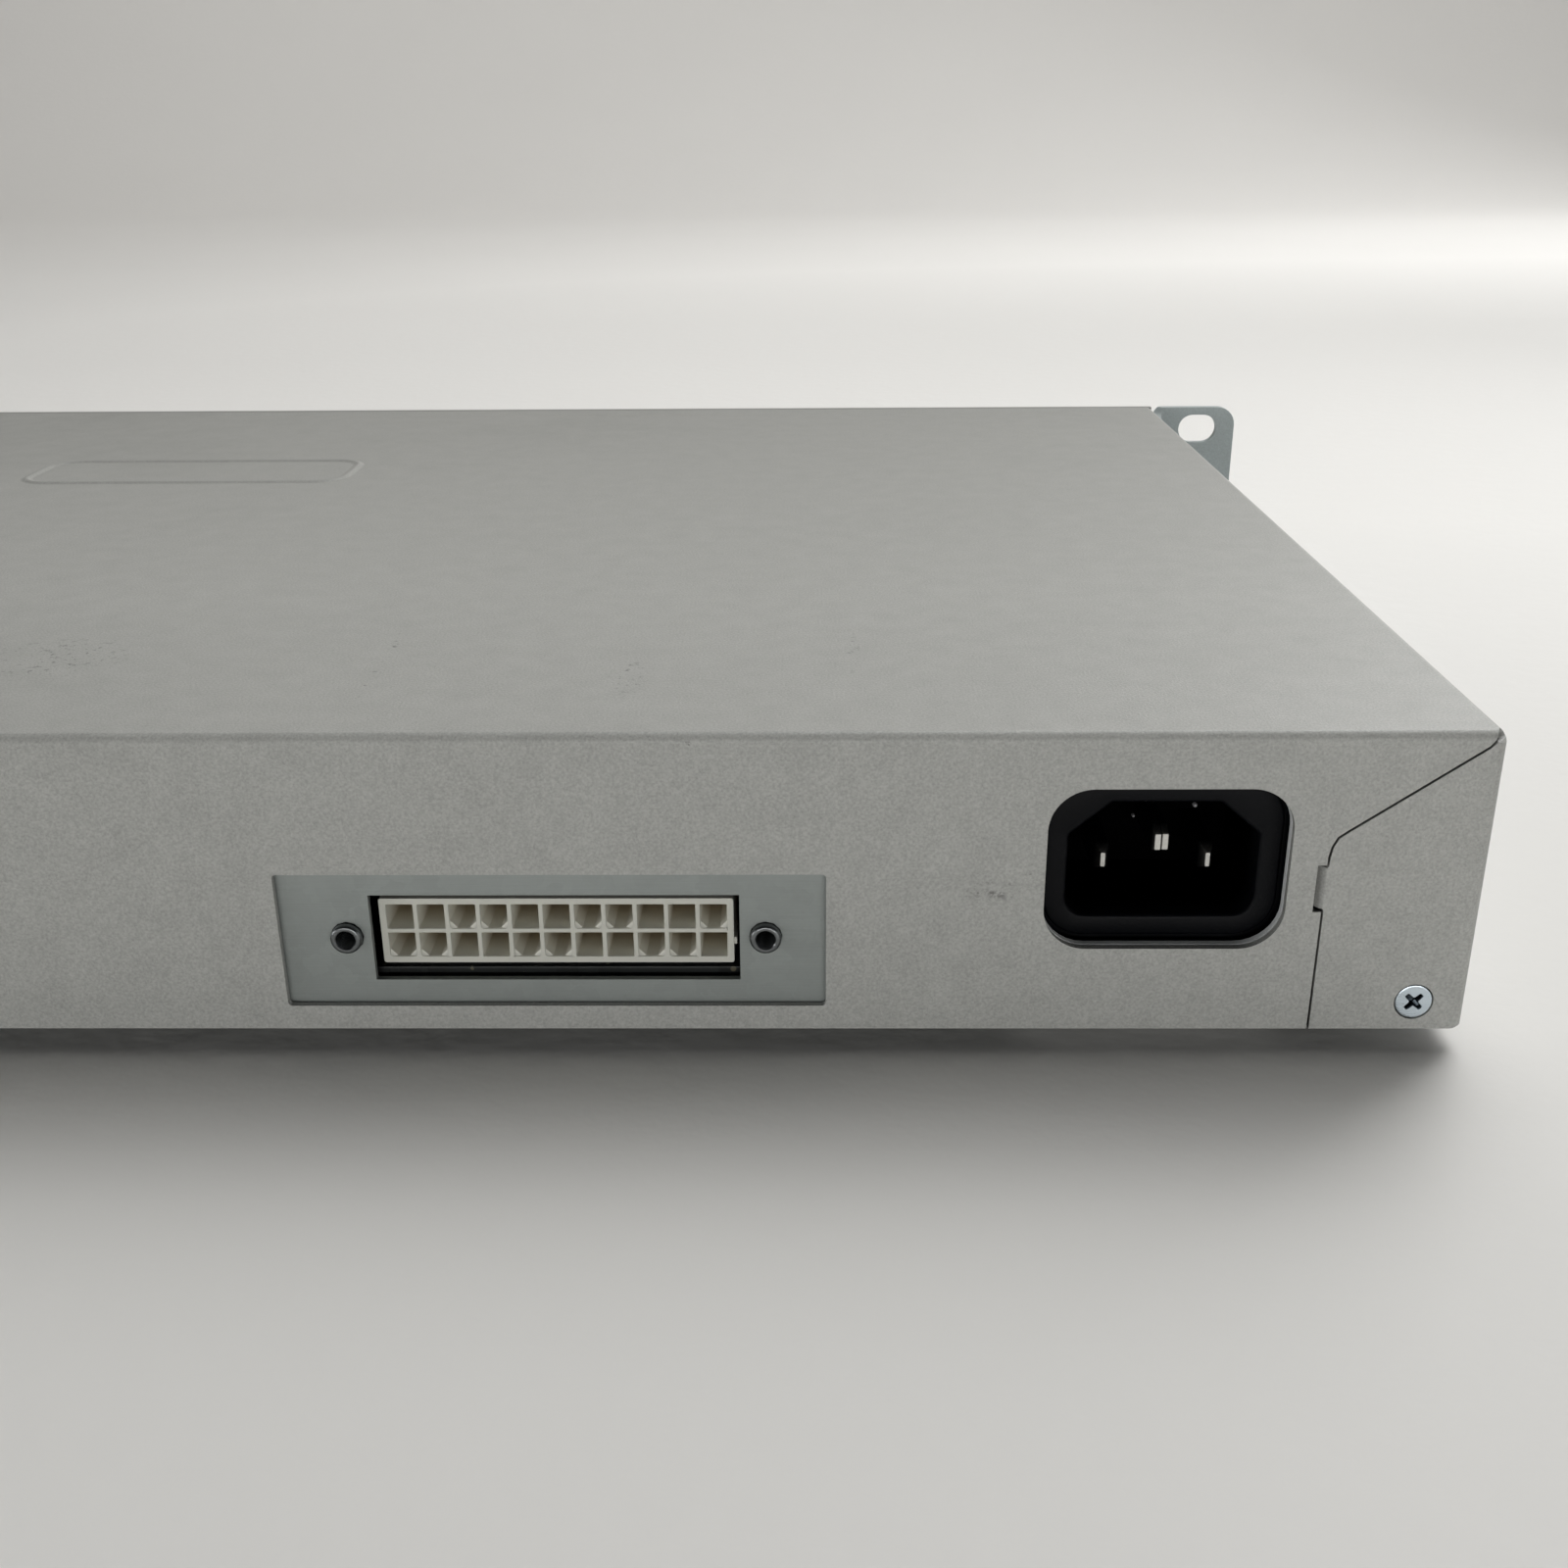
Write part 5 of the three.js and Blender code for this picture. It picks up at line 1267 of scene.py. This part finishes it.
def makeResetButton():
    low, high, (x, _, z) = nodeBox("reset_button")
    radius, flange = 2.0, (high[0] - low[0]) / 2
    front = -low[1]
    profile = [(0, front - 0.35), (0.7, front - 0.3), (1.25, front - 0.12), (1.55, front),
               (1.8, front - 0.06),
               (radius, front - 0.28), (radius, front - 4.8), (flange, front - 4.8), (flange, -high[1]),
               (0, -high[1])]
    addPiece("reset_button_moulded", turned(lathe(profile, 48), frontward, (x, 0, z)), "black_moulding",
             ["reset_button"], body="reset_button")


makeFeet()
makeJacks()
makeCages()
makeUsb()
makeResetButton()
print("stage: feet, ports and reset button made")


# Fan rotors: a capped hub and seven twisted blades, each a thin closed section carried outwards

rotor = dict(blades=7, hub=9.2, tip=17.4, chord=12.0, twistHub=0.75, twistTip=0.45, thick=1.0, camber=1.1,
             sweep=0.35, reach=6.4)


def makeRotors():
    c = rotor
    for i in (1, 2):
        node = f"fan_{i}_rotor"
        low, high, (_, y, _) = nodeBox(node)
        z = nodeBox(f"fan_{i}_frame")[2][2]
        hubEnd = high[0] - 2.7
        hub, cap = c["hub"], -low[0]
        profile = [(0, cap - 0.2), (hub - 3.2, cap - 0.2), (hub - 2.9, cap), (hub - 0.9, cap),
                   (hub - 0.25, cap - 0.25), (hub, cap - 0.9), (hub, -hubEnd), (1.0, -hubEnd),
                   (1.0, -high[0]), (0, -high[0])]
        parts = [turned(lathe(profile, 64), leftward, (0, y, z))]
        middle = (low[0] + hubEnd) / 2
        u = np.linspace(0, 2 * np.pi, 28, endpoint=False)
        chordwise, thickness = np.cos(u) / 2, np.sin(u) * c["thick"] / 2 * (0.55 + 0.45 * np.cos(u))
        out = np.linspace(0, 1, 9)
        radius = c["hub"] - 0.6 + (c["tip"] - c["hub"] + 0.5) * out
        pitch = c["twistHub"] + (c["twistTip"] - c["twistHub"]) * out
        chord = c["chord"] * (1 - 0.12 * out)
        for k in range(c["blades"]):
            along = chordwise[None] * chord[:, None]
            over = thickness[None] + c["camber"] * (0.25 - chordwise[None] ** 2)
            across = along * np.cos(pitch)[:, None] - over * np.sin(pitch)[:, None]
            ahead = along * np.sin(pitch)[:, None] + over * np.cos(pitch)[:, None]
            turn = 2 * np.pi * k / c["blades"] + across / radius[:, None] + c["sweep"] * out[:, None]
            loops = np.stack([middle + np.clip(ahead, -c["reach"], c["reach"]),
                              y + radius[:, None] * np.cos(turn),
                              z + radius[:, None] * np.sin(turn)], 2)
            parts.append(loft(loops))
        addPiece(node + "_moulded", joined(parts), "black_moulding", [node], body=node, sharp=40)


# Posts and screws that hold the boards over the tray

posts = dict(inset=5.0, frontInset=25.0, radius=2.6, screw=2.2, board=1.6)


def makePosts():
    base, wide = nodeBox("base_tray")[0][2] + cover["sheet"], posts["screw"]
    head = [(0, 0.0), (1.6, 0.0), (wide, 0.5), (wide, 0.9), (1.7, 1.3), (0.9, 1.45), (0.5, 0.9), (0, 0.9)]
    for node in ("main_board", "supply_board", "backup_board"):
        low, high, _ = nodeBox(node)
        under, parts = low[2], []
        for x in (low[0] + posts["inset"], high[0] - posts["inset"]):
            for y in (low[1] + posts["frontInset"], high[1] - posts["inset"]):
                hexagon = ring(x, y, posts["radius"], 6)
                parts.append(loft([np.insert(hexagon, 2, height, axis=1) for height in (base, under)]))
                parts.append(turned(lathe(head, 24), upward, (x, y, under + posts["board"])))
        addPiece(node + "_posts", joined(parts), "zinc_screw", bevel=0.1)


makeRotors()
makePosts()
print("stage: rotors and board posts made")


# Carried-over nodes: each keeps its shape, gets its finish, and has its edges softened

# the backup board takes the near-black board finish, as painted shade under the connector
carried = dict(edge=dict(base_tray=0.1, front_panel=0.25, light_pipes=0.2, memory_module=0.06,
                         storage_module=0.06),
               plainEdge=0.15, finish=dict(backup_board="shadow_black_board"))


def finishCarriedNodes():
    slotOf = {part["node"]: part["material_slot"] for part in frame["record"]["subparts"]}
    for name, node in sorted(frame["nodes"].items()):
        if node.hide_render:
            continue
        for place in node.material_slots:
            place.material = finishes[carried["finish"].get(name, slotOf[name])]
        softenEdges(node, carried["edge"].get(name, carried["plainEdge"]), weld=True)


finishCarriedNodes()
print("stage: carried-over nodes finished")
